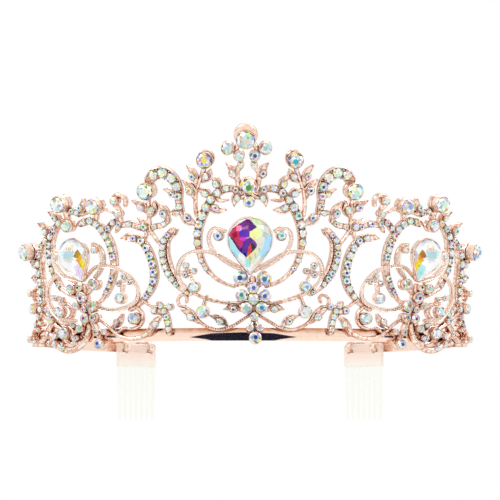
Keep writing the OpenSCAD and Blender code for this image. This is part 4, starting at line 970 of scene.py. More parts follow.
def end_tree(tree, given, geometry):
    """Ends a tree: its copies become real and get the finish."""
    real = add(tree, "GeometryNodeRealizeInstances", {"Geometry": geometry})
    dress = add(tree, "GeometryNodeSetMaterial", {"Geometry": real.outputs[0], "Material": given["Finish"]})
    add(tree, "NodeGroupOutput", {"Geometry": dress.outputs[0]})


set_tree, given = geometry_tree("set_on_points", [("Shape", "NodeSocketObject")])
shape = add(set_tree, "GeometryNodeObjectInfo", {"Object": given["Shape"]})
turned = add(set_tree, "GeometryNodeInputNamedAttribute", {"Name": "turn"}, data_type="QUATERNION")
sized = add(set_tree, "GeometryNodeInputNamedAttribute", {"Name": "width"}, data_type="FLOAT_VECTOR")
put = add(set_tree, "GeometryNodeInstanceOnPoints", {
    "Points": given["Geometry"], "Instance": shape.outputs["Geometry"],
    "Rotation": turned.outputs["Attribute"], "Scale": sized.outputs["Attribute"]})
end_tree(set_tree, given, put.outputs["Instances"])
print("tree", set_tree.name, "with", len(set_tree.nodes), "nodes")


# %% Shapes and points for the tree
def grow(made, tree, **inputs):
    """Runs a tree on an object and keeps the result as a plain mesh."""
    run = made.modifiers.new(tree.name, "NODES")
    run.node_group = tree
    for item in tree.interface.items_tree:
        if item.in_out == "INPUT" and item.name in inputs:
            run[item.identifier] = inputs[item.name]
    result = bpy.data.meshes.new_from_object(made.evaluated_get(bpy.context.evaluated_depsgraph_get()))
    made.modifiers.clear()
    made.data = result
    result.name = made.name
    return made


def note(mesh, label, kind, values, domain="POINT"):
    """Writes values on a mesh as a named attribute."""
    key = {"FLOAT_VECTOR": "vector", "FLOAT_COLOR": "color"}.get(kind, "value")
    mesh.attributes.new(label, kind, domain).data.foreach_set(key, values)


def points_object(name, frames, widths, colours=None):
    """Loose points that carry a turn, a size and, for stones, two colours and a number."""
    made = new_shape(name, [f[0] for f in frames])
    ways = [Matrix(np.stack(f[1:4], 1).tolist()).to_quaternion() for f in frames]
    note(made.data, "turn", "QUATERNION", [c for q in ways for c in q])
    note(made.data, "width", "FLOAT_VECTOR", np.array([np.broadcast_to(w, 3) for w in widths], float).ravel())
    if colours:
        for k, label in enumerate(("eye", "glow")):
            note(made.data, label, "FLOAT_COLOR", [c for pair in colours for c in linear(pair[k])])
        note(made.data, "stone_no", "FLOAT", np.arange(len(frames)) + 0.5)
    return made


def set_many(name, shape, finish, frames, widths, nodes, body="tiara", colours=None):
    """One shape set on many points, as one piece."""
    made = grow(points_object(name, frames, widths, colours), set_tree, Shape=shape, Finish=finish)
    return hand_over(made, nodes, body)


def pattern_shape(name, points, edges=(), faces=(), smooth=False):
    """A small shape for a tree: 1 unit across becomes 1 mm."""
    made = new_shape(name, points, edges, faces)
    if faces:
        outward(made.data)
    if smooth:
        made.data.shade_smooth()
    made.hide_render = True
    return made


print("ready to set shapes on points")

# %% [markdown]
# ## Cut stones
# A crystal has a flat table, a crown of sloping facets and a girdle. Through the table the foil at the back
# shows as a dark eye with a bright ring, so the table is drawn as an eye and a ring of eight facets.
# Real refraction would need thousands of rays, and these stones are one to five millimetres wide,
# so coloured facets are the better choice.

# %% The cut, one unit wide
CUT = 8


def ring_of(r, z, start=0.0):
    """Even corners on a level circle, turned by a share of a step."""
    around = [2 * math.pi * (i + start) / CUT for i in range(CUT)]
    return [(r * math.cos(a), r * math.sin(a), z) for a in around]


# the foil's eye lies a little off the middle
eye_ring = [(x + .05, y + .02, z) for x, y, z in ring_of(.18, .345)]
cut_points = (eye_ring + ring_of(.34, .335, .5) + ring_of(.445, .235) + ring_of(.5, .12, .5)
              + ring_of(.5, 0, .5))
# a facet's zone: 0 the eye, 1 the rest of the table, 2 and 3 the crown, 4 the girdle and the back
table, crown, girdle, foot, end = (k * CUT for k in range(1, 6))
cut_faces, zones = [list(range(CUT))], [0]
for i in range(CUT):
    j = (i + 1) % CUT
    cut_faces += [(i, table + i, j), (table + i, table + j, j), (table + i, crown + j, table + j),
                  (table + i, crown + i, girdle + i, crown + j), (girdle + i, girdle + j, crown + j),
                  (girdle + i, foot + i, foot + j, girdle + j)]
    zones += [1, 1, 2, 2, 3, 4]
cut_faces.append(list(range(foot, end))[::-1])
zones.append(4)
cut_stone = pattern_shape("cut_stone", cut_points, faces=cut_faces)
note(cut_stone.data, "zone", "FLOAT", [float(z) for z in zones], "FACE")
note(cut_stone.data, "facet", "FLOAT", [i + 0.5 for i in range(len(zones))], "FACE")
print("cut stone:", len(cut_faces), "faces")

# %% Stones in rows and in leaves
RAIL_PUSH, ROW_WIDER = 0.05, 1.03
LEAF_AT, LEAF_STONE_W, LEAF_STONE_L = 0.43, 1.08, 1.3
CLEARANCE = 0.1


def row_stones(points, widths, count, edge, side):
    """Stones in a row: distance, height and width. A polished rail pushes them to the other edge."""
    path, share, total = smooth_line(points, 0.2)
    at = (np.arange(count) + 0.5) / count
    wide = taper(widths)(at)
    w = np.minimum(wide, total / count) * ROW_WIDER
    way = heading(path)
    rows = np.stack([np.interp(at, share, a) for a in (path[:, 0], path[:, 1], -way[:, 1], way[:, 0])], 1)
    push = -RAIL_PUSH * wide * edge * side if edge in (-1, 1) else 0 * wide
    return [(r[0] + r[2] * k, r[1] + r[3] * k, size) for r, k, size in zip(rows, push, w)]


def leaf_stones(leaves):
    """A long stone in each leaf that has one: distance, height, width, length and the leaf's way."""
    stones = []
    for root, tip, _, w, _ in leaves:
        if w:
            ds, dh = tip[0] - root[0], tip[1] - root[1]
            stones.append((root[0] + LEAF_AT * ds, root[1] + LEAF_AT * dh, LEAF_STONE_W * w, LEAF_STONE_L * w,
                           math.atan2(dh, ds)))
    return stones


print("the first spray leaf's stone:", [round(c, 2) for c in leaf_stones(leaves_on(spray_leaves, 1))[0]])

# %% The small stones of each casting
over_lines = [(smooth_line(r[0], 0.4)[0], max(r[1]) / 2) for r in curl_scrolls + side_curl_scrolls]
over_spots = [(np.array(r[:2]), r[2] / 2 + ROUND_MARGIN)
              for r in curl_rounds + curl_pads + side_curl_rounds + side_curl_pads]


def in_clear(stones):
    """The stones that no wire lies over."""
    kept = []
    for s, h, w, *more in stones:
        p = np.array([abs(s), h])
        room = min([np.linalg.norm(line - p, axis=1).min() - half for line, half in over_lines]
                   + [np.linalg.norm(p - q) - r for q, r in over_spots])
        if room > w / 2 + CLEARANCE:
            kept.append((s, h, w, *more))
    return kept


def set_of(scrolls, leaves):
    """The small stones of a casting, in its rows and then in its leaves."""
    return in_clear([q for r in scrolls if r[2] for q in row_stones(*r)] + leaf_stones(leaves))


def is_long(stone):
    """Whether a small stone is a leaf's."""
    return len(stone) > 3


small = {
    "frame_stones": [(q, CAST_T) for q in set_of(*makings["center_frame"][:2])],
    "cradle_stones": [(q, CAST_T) for q in set_of(on_both(scrolls_on, cradle_rows), [])],
    "foot_stones": [(q, CAST_T) for q in leaf_stones(makings["center_foot"][1])],
}
for word, side in SIDES:
    for part in ("spray", "plume", "crescent", "side_frame", "end_scroll", "hem"):
        stem = part.split("_")[0]
        small[f"{word}_{stem}_stones"] = [(q, CAST_T) for q in set_of(*makings[f"{word}_{part}"][:2])]
    # in the crowded hem, a row's stone gives way to a round, a pad or a leaf's stone
    hem = small[f"{word}_hem_stones"]
    beside = spots_on(hem_rounds + hem_pads + corner_pads + end_rounds + side_foot_rounds, side)
    beside += [q for q, _ in hem if is_long(q)]
    hem = [(q, level) for q, level in hem if is_long(q) or all(
        math.dist(q[:2], b[:2]) > (q[2] + b[2]) / 2 + CLEARANCE for b in beside)]
    hem += [(q, CAST_T) for q in spots_on(hem_pads + corner_pads, side)]
    hem += [(q, WIRE_TOP) for q in spots_on(curl_pads + side_curl_pads, side)]
    small[f"{word}_hem_stones"] = hem
print("small stones:", {k: len(v) for k, v in small.items()})

# %% Set the small stones
luck = random.Random(11)
# eye and glow of a small stone, each as likely as the next
TONES = [("#F4F8F4", "#F7FAFA"), ("#EAF6F6", "#F4F6E4"), ("#E4F0C8", "#F4F8EE"), ("#CFE9EE", "#F2F8F8"),
         ("#DCD4F2", "#F4F2FA"), ("#F2EAB0", "#F8F6E6"), ("#C4DCE4", "#EEF4F2"), ("#D4EEDA", "#F2F8EE"),
         ("#F0DCC8", "#F8F4EE"), ("#B8C4D0", "#EEF2F4"), ("#E8E6DC", "#FAFAF6"), ("#1F3A8C", "#E2EEFA"),
         ("#1E6E8E", "#DDF3F6"), ("#6A4FB0", "#F0E8FA"), ("#EBD84A", "#FAF8DC"), ("#3F8F62", "#E2F4E6"),
         ("#7A4A34", "#F6E8DC"), ("#C03A9A", "#F8E6F2"), ("#55606C", "#EAEEF0"), ("#E09A3C", "#FAF0DC")]
BLUES = [("#1B3078", "#DDEAF8"), ("#234C9A", "#E6F1FC"), ("#1A6A90", "#DAF2F6"), ("#4A3FA8", "#ECE6FA")]
DARKS = [("#7A4A34", "#E6D6CA"), ("#5A4A48", "#D8CEC6"), ("#55606C", "#DCE0DE"), ("#C4DCE4", "#EEF4F2")]
GLUE, BLUE_SHARE = 0.05, 0.45


def spun(frame_at, turn=None):
    """The same spot turned by a given angle, or by a chance one, because no setter lines the facets up."""
    place, along, rise, out = frame_at
    turn = luck.uniform(0, 2 * math.pi) if turn is None else turn
    c, s = math.cos(turn), math.sin(turn)
    return place, along * c + rise * s, rise * c - along * s, out


def small_frame(stone, level, turn=None):
    """Frame of a small stone. A leaf's stone lies along its leaf."""
    return spun(spot(stone[0], stone[1], level + GLUE), stone[4] if is_long(stone) else turn)


def size_of(stone):
    """Scale of a small stone: round ones alike both ways, leaf stones longer than wide."""
    return (stone[3], stone[2], stone[2]) if is_long(stone) else stone[2]


def chance_tone(node, level):
    """Colours of a small stone: dark on the wires, often blue in the crescents."""
    if level > CAST_T:
        return luck.choice(DARKS)
    blue = "crescent" in node and luck.random() < BLUE_SHARE
    return luck.choice(BLUES if blue else TONES)


for node, stones in small.items():
    frames = [small_frame(q, level) for q, level in stones]
    tones = [chance_tone(node, level) for _, level in stones]
    set_many(f"{node}_cut", cut_stone, crystal, frames, [size_of(q) for q, _ in stones], [node],
             colours=tones)
print("small stones in all:", sum(len(v) for v in small.values()))

# %% [markdown]
# ## Rims and claws
# Each small stone sits in a thin rim of metal, and between two stones of a row the setter raises little beads
# that hold both. They are the fine texture that makes the scrolls look jewelled,
# so each one is real geometry, with few faces.

# %% Rims round the small stones
RIM_SIDES = 12
rim_line = [(.48, -.25), (.55, -.25), (.555, .03), (.54, .07), (.515, .08), (.49, .03)]
rim_points = [(r * math.cos(a), r * math.sin(a), z) for a in turns(RIM_SIDES) for r, z in rim_line]
rim_faces = []
for i in range(RIM_SIDES):
    here, there = i * len(rim_line), (i + 1) % RIM_SIDES * len(rim_line)
    for j in range(len(rim_line)):
        k = (j + 1) % len(rim_line)
        rim_faces.append((here + j, here + k, there + k, there + j))
rim = pattern_shape("stone_rim", rim_points, faces=rim_faces, smooth=True)
everywhere = [pair for stones in small.values() for pair in stones]
set_many("small_stone_rims", rim, polished_plate, [small_frame(q, level, 0) for q, level in everywhere],
         [size_of(q) for q, _ in everywhere], [])
print("rims:", len(everywhere))

# %% Claw beads between the stones of a row
NEXT_TO, CLAW_OUT, CLAW_UP, CLAW_SIZE = 0.5, 0.42, 0.14, (0.52, 0.52, 0.6)
ball = bmesh.new()
bmesh.ops.create_uvsphere(ball, u_segments=8, v_segments=5, radius=0.5)
ball_points = [tuple(v.co) for v in ball.verts]
ball_faces = [[v.index for v in f.verts] for f in ball.faces]
ball.free()
bead = pattern_shape("bead", ball_points, faces=ball_faces, smooth=True)
claws = []
for stones in small.values():
    for (a, level), (b, _) in zip(stones, stones[1:]):
        apart = np.array(b[:2]) - np.array(a[:2])
        gap = np.linalg.norm(apart)
        if gap < (a[2] + b[2]) / 2 + NEXT_TO:
            middle = (np.array(a[:2]) + np.array(b[:2])) / 2
            across = np.array([-apart[1], apart[0]]) / gap * min(a[2], b[2]) * CLAW_OUT
            claws += [spot(*(middle + k * across), level + CLAW_UP) for k in (1, -1)]
set_many("claw_beads", bead, polished_plate, claws, [CLAW_SIZE] * len(claws), [])
print("claw beads:", len(claws))

# %% [markdown]
# ## Beaded wires
# The loops over the crown are flat wires with two rails and a row of beads rolled between them.
# The beads follow the wire at an even pitch, so a second tree turns the line into a curve, divides it,
# and sets a bead on each point.

# %% Beads along the wires
BEAD_PITCH, BEAD_SIZE = 0.66, 0.4
line_tree, given = geometry_tree("beads_along_wire", [
    ("Pitch", "NodeSocketFloat"), ("Size", "NodeSocketFloat"), ("Bead", "NodeSocketObject")])
line = add(line_tree, "GeometryNodeMeshToCurve", {"Mesh": given["Geometry"]})
even = add(line_tree, "GeometryNodeResampleCurve", {"Curve": line.outputs[0], "Length": given["Pitch"]},
           mode="LENGTH")
shape = add(line_tree, "GeometryNodeObjectInfo", {"Object": given["Bead"]})
put = add(line_tree, "GeometryNodeInstanceOnPoints", {
    "Points": even.outputs[0], "Instance": shape.outputs["Geometry"], "Scale": given["Size"]})
end_tree(line_tree, given, put.outputs["Instances"])
line_points, line_edges = [], []
for points, level in beads:
    path, _, _ = smooth_line(points)
    place, _, _, out = stand(path[:, 0], path[:, 1])
    first = len(line_points)
    line_points += (place + out * level).tolist()
    line_edges += [(first + i, first + i + 1) for i in range(len(path) - 1)]
wire_beads = new_shape("wire_beads", line_points, line_edges)
grow(wire_beads, line_tree, Pitch=BEAD_PITCH * MM, Size=BEAD_SIZE, Bead=bead, Finish=wire_plate)
hand_over(wire_beads, [])
print("wire beads:", len(wire_beads.data.polygons) // len(ball_faces))

# %% [markdown]
# ## Round stones in cups
# The larger stones stand in turned cups. The low ones are plain collars,
# and the tall ones at the top are satin cups that show from the side.
# The stone of the crest sits in a hooded cup, tipped forward, so a crescent of satin metal shows above it.

# %% Where the round stones sit
SOLDER = 0.05


def cut_wider(h):
    """How much wider a round of the column is cut than its solid: low down, they crowd each other."""
    if h > 20:
        return 1
    return 1.15 if h > 16 or h < 2 else 1.08


center_rounds = spots_on(column_rounds, 1, True) + [
    r for k in (1, -1) for r in spots_on(crest_rounds + foot_rounds + drop_rounds, k, True)]
round_sets = {"center": [((s, h, w * cut_wider(h), tall), CAST_T) for s, h, w, tall in center_rounds]}
before_foot = spray_rounds + plume_rounds + crescent_rounds + side_rounds
half_rounds = before_foot + side_foot_rounds + end_rounds + hem_rounds
for word, side in SIDES:
    round_sets[word] = [(r, CAST_T) for r in spots_on(half_rounds, side)]
    round_sets[word] += [(r, WIRE_TOP) for r in spots_on(curl_rounds + side_curl_rounds, side)]

# the crest's cup is tipped forward about its lower edge
CREST_TIP = math.radians(12)
place, along, rise, out = spot(*on_half(crest_top, 1, True), CAST_T + SOLDER)
crest_foot_r = crest_stone / 2 + 0.3
up = rise * math.cos(CREST_TIP) + out * math.sin(CREST_TIP)
crest_frame = (place - rise * crest_foot_r + up * crest_foot_r, along, up,
               out * math.cos(CREST_TIP) - rise * math.sin(CREST_TIP))
print("round stones:", {k: len(v) for k, v in round_sets.items()}, "and the crest's")

# %% Cups
CUP_SIDES, CREST_SIDES, HOOD_UP = 24, 32, 1.2


def cup_on(bag, at, w, tall, slim):
    """A collar whose rim is rubbed over the stone's edge. On a tall cup the stone hides the thin rim."""
    half = w / 2
    r = half - 0.25 if slim else half + ROUND_MARGIN
    lip = 0.1 if tall < 2 else 0.0
    turn_on(bag, at, [(r * .85, 0), (r, .4), (r, tall - .5), (half + .04 + lip, tall - .1 + lip),
                      (half - .02, tall + lip), (half - .1, tall - .1), (half - .1, .45)], CUP_SIDES)


def crest_cup_on(bag):
    """The crest's collar and the hood behind it."""
    r = crest_stone / 2
    place, along, up, out = crest_frame
    hood = (place + up * HOOD_UP, along, up, out)
    turn_on(bag, hood, [(r * .8, 0), (r + .5, .35), (r + .72, 1.0), (r + .74, 1.5), (r + .64, 1.9),
                        (r + .42, 2.12), (r, 2.2), (r * .5, 2.16), (.05, 2.1)], CREST_SIDES)
    turn_on(bag, crest_frame, [(r + .02, .4), (r + .12, 2.2), (r + .16, 2.62), (r + .08, 2.7),
                               (r - .04, 2.66), (r - .04, 2.2), (r - .04, .45)], CREST_SIDES)


for word, rows in round_sets.items():
    bag = Bag()
    for (s, h, w, tall), level in rows:
        # the sprays' cups are slimmer than their stones
        cup_on(bag, spot(s, h, level + SOLDER), w, tall, slim=h == spray_rounds[0][1])
    if word == "center":
        crest_cup_on(bag)
    bag_piece(f"{word}_stone_cups", bag, satin_plate, [f"{word}_cups"])
print("cups:", {k: len(v) for k, v in round_sets.items()}, "and the hooded crest cup")

# %% Colours of the round stones
PALE = [("#E4F2EE", "#F2F7F2"), ("#DDEBF7", "#EEF4FA"), ("#CDEBD6", "#F0F5DC"), ("#BFE8EE", "#E6F6F4"),
        ("#E6DCF4", "#F4EEF8"), ("#8FA8D8", "#E4ECF8")]
center_tones = [
    ("#3E9A4E", "#DDEBC8"), ("#3C6FB8", "#D5D3F0"), ("#6A5AB4", "#DDD8F0"), ("#DCD6EE", "#F2F0F6"),
    ("#F0F4F2", "#F6F8F6"), ("#2F58A8", "#CFE4F6"), ("#B9C4C8", "#E6EEEE"), ("#4E3F86", "#CFC8E4"),
    ("#DDEBE2", "#EEF4F0"), ("#2A7F98", "#CFE9E4"), ("#4A56A8", "#D4DCF2"), ("#2C8CB4", "#CFF0F2"),
    ("#BFD0E8", "#EEF2F8"), ("#D8E2F2", "#F2EBD2"), ("#A9DDE8", "#DCEFE0"), ("#BFE3EE", "#EDF0E4"),
    ("#E8E6B0", "#F2F4DC"), ("#24408C", "#BFD4E6"), ("#2F8C8C", "#CDEEE0"), ("#B4E2DC", "#DDF2E6"),
    ("#E4E0F0", "#F4F2F8"), ("#BFE8DC", "#E2F4EA")
]
crest_tone = ("#EBD8C4", "#A8ECF4")
# the spray's stone and the plume's
top_tones = {
    "left": [("#F2E04A", "#B9BEF2"), ("#DDF0E6", "#E2F0F6")],
    "right": [("#28AFC0", "#D8F0EC"), ("#BFE6DA", "#DCEFE6")],
}
# the side columns' stones, from the pear down
COLUMN = [("#E6A63A", "#E8F2E8"), ("#4A2A5E", "#E6E24A"), ("#9ADCC0", "#E2F4E6"), ("#C8208C", "#DCEFEA"),
          ("#E09A28", "#CFE8F4"), ("#EDE6B0", "#F4F4EA"), ("#D0289A", "#F2E8F4"), ("#7088A0", "#F0C89A"),
          ("#C01E7A", "#E4F0EE"), ("#D4E4DC", "#F2F6EC"), ("#8A5A40", "#EEE2D8"), ("#DCEBE2", "#F4F6F0"),
          ("#5A48C8", "#CFE8F6")]
curl_tone = {"left": ("#2A5AA8", "#CFE4F6"), "right": ("#34B4C8", "#CFF0E8")}
print("chosen colours:", len(center_tones) + 1, "in the centre and", len(COLUMN) + 3, "on each side")

# %% Round stones
CENTER_WIDER = 1.07


def stone_level(w, tall):
    """Height of a round stone's girdle above its cup's foot."""
    return max(0.55, tall - 0.12 * w)


for word, rows in round_sets.items():
    frames = [spun(spot(r[0], r[1], level + SOLDER + stone_level(r[2], r[3]))) for r, level in rows]
    widths = [r[2] for r, _ in rows]
    if word == "center":
        place, along, up, out = crest_frame
        frames.append((place + out * stone_level(crest_stone, deep_cup), along, up, out))
        widths = [w * CENTER_WIDER for w in widths] + [crest_stone]
        tones = center_tones + [crest_tone]
    else:
        tones = top_tones[word] + [luck.choice(PALE) for _ in rows[2:]]
        tones[len(half_rounds)] = curl_tone[word]
        tones[len(before_foot):len(before_foot) + len(COLUMN)] = COLUMN
    set_many(f"{word}_rounds_cut", cut_stone, crystal, frames, widths, [f"{word}_rounds"],
             colours=tones)
print("round stones:", 1 + sum(len(v) for v in round_sets.values()))

# %% [markdown]
# ## The three pears
# The pears are the largest stones, and their facets can be counted. Each one is built ring by ring
# from a pear outline, every other ring turned by half a step, so that the facets become kites and triangles,
# as a cutter makes them. The foil colours gather in patches: crimson and violet on one side of the centre
# pear, lime on the other, cyan below.


# %% Pear outline
def pear_line(w, l, count, start=0.0, grow_by=0.0):
    """Even points round a pear, about the middle of its round end, from its point at the bottom."""
    r, reach = w / 2 + grow_by, l - w / 2 + grow_by * (l - w / 2) / (w / 2)
    turn = math.acos(r / reach)
    a = np.linspace(-math.pi / 2 + turn, 1.5 * math.pi - turn, 48)
    line = np.vstack([[0, -reach], np.stack([r * np.cos(a), r * np.sin(a)], 1), [0, -reach]])
    run = np.concatenate([[0], np.cumsum(np.linalg.norm(np.diff(line, axis=0), axis=1))])
    at = (np.arange(count) + start) / count * run[-1]
    return np.stack([np.interp(at, run, line[:, k]) for k in (0, 1)], 1)


print("pear outline:", pear_line(pear_w, pear_l, 8).round(1).tolist()[:3])

# %% Facets as they are seen through the table: a colour and its corners, from the middle of the round end
center_facets = [
    ("#BE2058", [(-5.7, 1.2), (-4.8, 3.1), (-2.8, 4.5), (-2.6, 2.9), (-3, 2), (-2.9, .5), (-4.3, .3)]),
    ("#3C0A44", [(-5.8, 1.2), (-5, 1.4), (-4, -.4), (-2.6, -2.7), (-2.8, -3.1)]),
    ("#6C1480", [(-2.8, 4.5), (-.9, 5.6), (-.1, 5.6), (-.4, 4.1), (-2.6, 3.2)]),
    ("#5A0E7C", [(-.4, 5), (.3, 5.1), (1.9, 3.5), (.5, 2.6), (-.1, 2.4), (-.5, 3.9)]),
    ("#A06AA8", [(-2.6, 3.2), (-.4, 4.1), (-.5, 3.2), (-1.8, 2.9), (-2.6, 2.9)]),
    ("#4A1CAC", [(-2.8, 2.9), (-.1, 2.6), (-.1, 1), (-1.3, .8), (-3, 1.2)]),
    ("#DE16CC", [(-3.1, .7), (-1.3, .9), (-1, .4), (-1.5, -.2), (-2.6, 0)]),
    ("#C2186C", [(-4.3, .3), (-3.1, .6), (-1.8, -.3), (-2.1, -1.7), (-3.2, -1.5), (-4, -.5)]),
    ("#A0127E", [(-4, -.5), (-3.2, -1.5), (-2.1, -1.7), (-2.6, -2.8)]),
    ("#561392", [(-2.1, -1.7), (-1.8, -.3), (-.4, .4), (.1, .5), (.2, -1), (-.4, -1.8), (-.6, -3.1),
                 (-1, -4.7), (-2.7, -3)]),
    ("#8E1CA8", [(.1, .5), (1.5, -.4), (1.9, -1.3), (1.7, -2), (.7, -.6), (.2, -1)]),
    ("#0E1A1C", [(.2, -1), (.7, -.6), (1.7, -2), (1.1, -2.7), (.6, -2.7)]),
    ("#DA3020", [(-.4, -1.8), (.2, -1), (.6, -2.7), (.1, -3.7), (-.6, -3.1)]),
    ("#C07A2A", [(-.6, -3.1), (.1, -3.7), (-1, -4.7)]),
    ("#241018", [(.6, -2.7), (1.1, -2.7), (.1, -3.7)]),
    ("#A894AE", [(-1.5, .7), (-.1, 1), (.1, .5), (-.4, .4), (-1, .4)]),
    ("#7E2A8C", [(-5.8, 1.2), (-4.8, 3.1), (-2.8, 4.5), (-.9, 5.6), (-.1, 5.6), (1.9, 3.5), (-.1, 2.4),
                 (-.1, 1), (1.5, -.4), (1.9, -1.3), (1.7, -2), (-1, -4.7), (-2.8, -3.1)]),
    ("#F3F7A6", [(-.1, 2.4), (2.9, 3), (3.2, 1.4), (2, .4), (1.5, -.4), (.1, .5), (-.1, 1)]),
    ("#DEF4C2", [(-.1, 5.6), (.7, 6.1), (3.2, 5.8), (2.9, 3.4), (1.9, 3.5), (.3, 5.1)]),
    ("#EAF4C0", [(1.9, 3.5), (2.9, 3.4), (2.9, 3), (-.1, 2.4), (.5, 2.6)]),
    ("#DFE8DC", [(3.2, 5.8), (5.5, 3.6), (5.7, 1.8), (4, .4), (2, .4), (3.2, 1.4), (2.9, 3.4)]),
    ("#E6EAD8", [(2, .4), (4, .4), (3.5, -2.1), (2.3, -3.5), (1.7, -2), (1.9, -1.3), (1.5, -.4)]),
    ("#EFF4BE", [(-1, -4.7), (1.7, -2), (2.3, -3.5), (.2, -6.5)]),
    ("#C4F0DC", [(2.3, -3.5), (2.8, -3.8), (.7, -6.7), (.2, -6.5)]),
    ("#A6E4F8", [(4, .4), (5.7, 1.8), (6.3, .6), (5.9, -2.3), (3.8, -5.6), (2.8, -3.8), (2.3, -3.5),
                 (3.5, -2.1)]),
    ("#C8DCF8", [(3.8, -5.6), (2.8, -3.8), (2.9, -4.6), (3.2, -6.9), (4, -6.9)]),
    ("#B2E4F7", [(-5.8, 1.1), (-6.5, -.7), (-5.4, -4.4), (-3.5, -5.4), (-2.8, -3.2)]),
    ("#BCC8F8", [(-5.4, -4.4), (-3.5, -5.4), (-3.7, -7.3), (-4.6, -6.9)]),
    ("#F2FAFC", [(-2.8, -3.1), (-1, -4.7), (-1.3, -6.6), (-3.5, -6.9), (-3.5, -5.4)]),
    ("#A8F0F2", [(-1, -4.7), (.2, -6.5), (-.4, -7.6), (-1.3, -7.2), (-1.3, -6.6)]),
    ("#F4E6E0", [(.2, -6.5), (.7, -6.7), (2.9, -4.6), (3.2, -6.8), (2.8, -7.8), (.9, -8.3), (-.4, -7.6)]),
    ("#FFFFFF", [(-3.7, -7.3), (-3.5, -6.9), (-1.3, -7.2), (-.4, -7.6), (-1.1, -8.5), (-3, -9.1)]),
    ("#F0E2D2", [(-1.1, -8.5), (.9, -8.3), (3.2, -7.8), (-.4, -10.4)])]
side_facets = [
    ("#B58418", [(-2.4, .1), (-3.4, .8), (-3.7, -.8), (-2.6, -1.7), (-1.7, -.9)]),
    ("#EEA01C", [(-3.7, -.8), (-3.3, -2), (-2.1, -3.1), (-2, -1.7), (-2.6, -1.7)]),
    ("#F4D634", [(-3.3, -2), (-2.1, -3.1), (-1.7, -5.6), (-3.3, -3.2)]),
    ("#D8CCC4", [(-3.3, -2), (-3.7, -.8), (-4.3, -1.2), (-3.4, -3.3)]),
    ("#BFDCF8", [(2.7, 2.8), (3.3, 4.6), (.9, 4.9), (-.3, 4.2), (1.4, 2.8)]),
    ("#F2D8CC", [(.8, 2.2), (-1, 3.1), (-2.6, 2.5), (-2.3, .8)]),
    ("#CFF4F8", [(2.2, 2.4), (-2.3, .7), (-2.4, .1), (-1.7, -.9), (1.8, 0)]),
    ("#DDE6F6", [(-1.4, 4.7), (-4, 2.3), (-3.5, 1.5), (-1.9, 3.9)]),
    ("#F8F4FA", [(-2.1, -3.1), (-.7, -3.2), (.6, -2.4), (-2, -1.7)])]
side_tip = [(-.7, -3.2), (-2.1, -3.1), (-1.7, -5.7), (-.3, -7.8), (-.1, -5.9)]


def facet_tints(spots, facets, base):
    """The colour of each spot on a pear's face: the first facet it lies in, or the base colour."""
    tints, free = np.tile(linear(base), (len(spots), 1)), np.ones(len(spots), bool)
    x, y = np.asarray(spots).T
    for code, corners in facets:
        odd = np.zeros(len(spots), bool)
        for (x0, y0), (x1, y1) in zip(corners, corners[1:] + corners[:1]):
            odd ^= ((y0 > y) != (y1 > y)) & (x < (x1 - x0) * (y - y0) / (y1 - y0 or 1) + x0)
        tints[odd & free] = linear(code)
        free &= ~odd
    return tints


print("facets:", len(center_facets), "in the centre pear and", len(side_facets) + 1, "in each side pear")

# %% Pear stones and their settings
SEAT, CROWN, FLOOR = 1.2, 2.2, 0.45
FACETS, FINE_CUTS, RIM_POINTS = 14, 8, 40
# share of the outline and of the crown's height for each ring of corners, from the girdle inward
CORNERS = [(1.0, 0.0), (.88, .42), (.74, .74), (.58, .95), (.42, 1.0), (.26, 1.0), (.11, 1.0)]
# the setting's wall: how far outside the stone, and how high
WALL = [(.3, .05), (.34, .4), (.34, SEAT + .3), (.28, SEAT + .46), (.12, SEAT + .5), (.0, SEAT + .42),
        (.02, SEAT + .1), (.02, .42)]


def pear_faces():
    """Faces of a pear by number of corner. Each kite lies on three rings of corners."""
    n, last = FACETS, len(CORNERS) - 1
    faces = [list(range((last + 1) * n, (last + 2) * n)), list(range(last * n, last * n + n))]
    for i in range(n):
        j = (i + 1) % n
        faces += [(i, j, (last + 1) * n + j, (last + 1) * n + i), (i, n + i, j)]
        for k in range(1, last):
            inner = j if k % 2 else i
            faces.append((k * n + i, (k - 1) * n + inner, k * n + j, (k + 1) * n + inner))
        faces.append((last * n + i, (last - 1) * n + (j if last % 2 else i), last * n + j))
    return faces


def pear_on(node, frame_at, w, l, facets, base, side=1):
    """A faceted pear and the rim of the setting that holds it. A left pear, with side -1, is mirrored."""
    place, along, rise, out = frame_at
    rings = [np.column_stack([pear_line(w * k, l * k, FACETS, (i % 2) / 2),
                              np.full(FACETS, FLOOR + SEAT + CROWN * z)]) for i, (k, z) in enumerate(CORNERS)]
    foot = np.column_stack([pear_line(w, l, FACETS), np.full(FACETS, FLOOR)])
    mesh = bpy.data.meshes.new(f"{node}_cut")
    mesh.from_pydata(np.vstack(rings + [foot]).tolist(), [], pear_faces())
    # the kites are divided finely, so that the colours seen through them have straight edges
    work = bmesh.new()
    work.from_mesh(mesh)
    bmesh.ops.subdivide_edges(work, edges=work.edges[:], cuts=FINE_CUTS, use_grid_fill=True)
    tints = facet_tints([f.calc_center_median()[:2] for f in work.faces], facets, base)
    for v in work.verts:
        x, y, z = v.co
        v.co = Vector((place + x * side * along + y * rise + z * out) * MM)
    work.to_mesh(mesh)
    work.free()
    note(mesh, "tint", "FLOAT_COLOR", tints.ravel(), "FACE")
    outward(mesh)
    mesh.materials.append(pear_crystal)
    hand_over(new_object(f"{node}_cut", mesh), [node])
    bag = Bag()
    loops = []
    for grow_by, z in WALL:
        line = pear_line(w, l, RIM_POINTS, 0.5, grow_by)
        loops.append(place + line[:, :1] * side * along + line[:, 1:] * rise + z * out)
    bag.shell(np.array(loops))
    bag_piece(f"{node}_cut_rim", bag, wire_plate, [f"{node}_setting"])


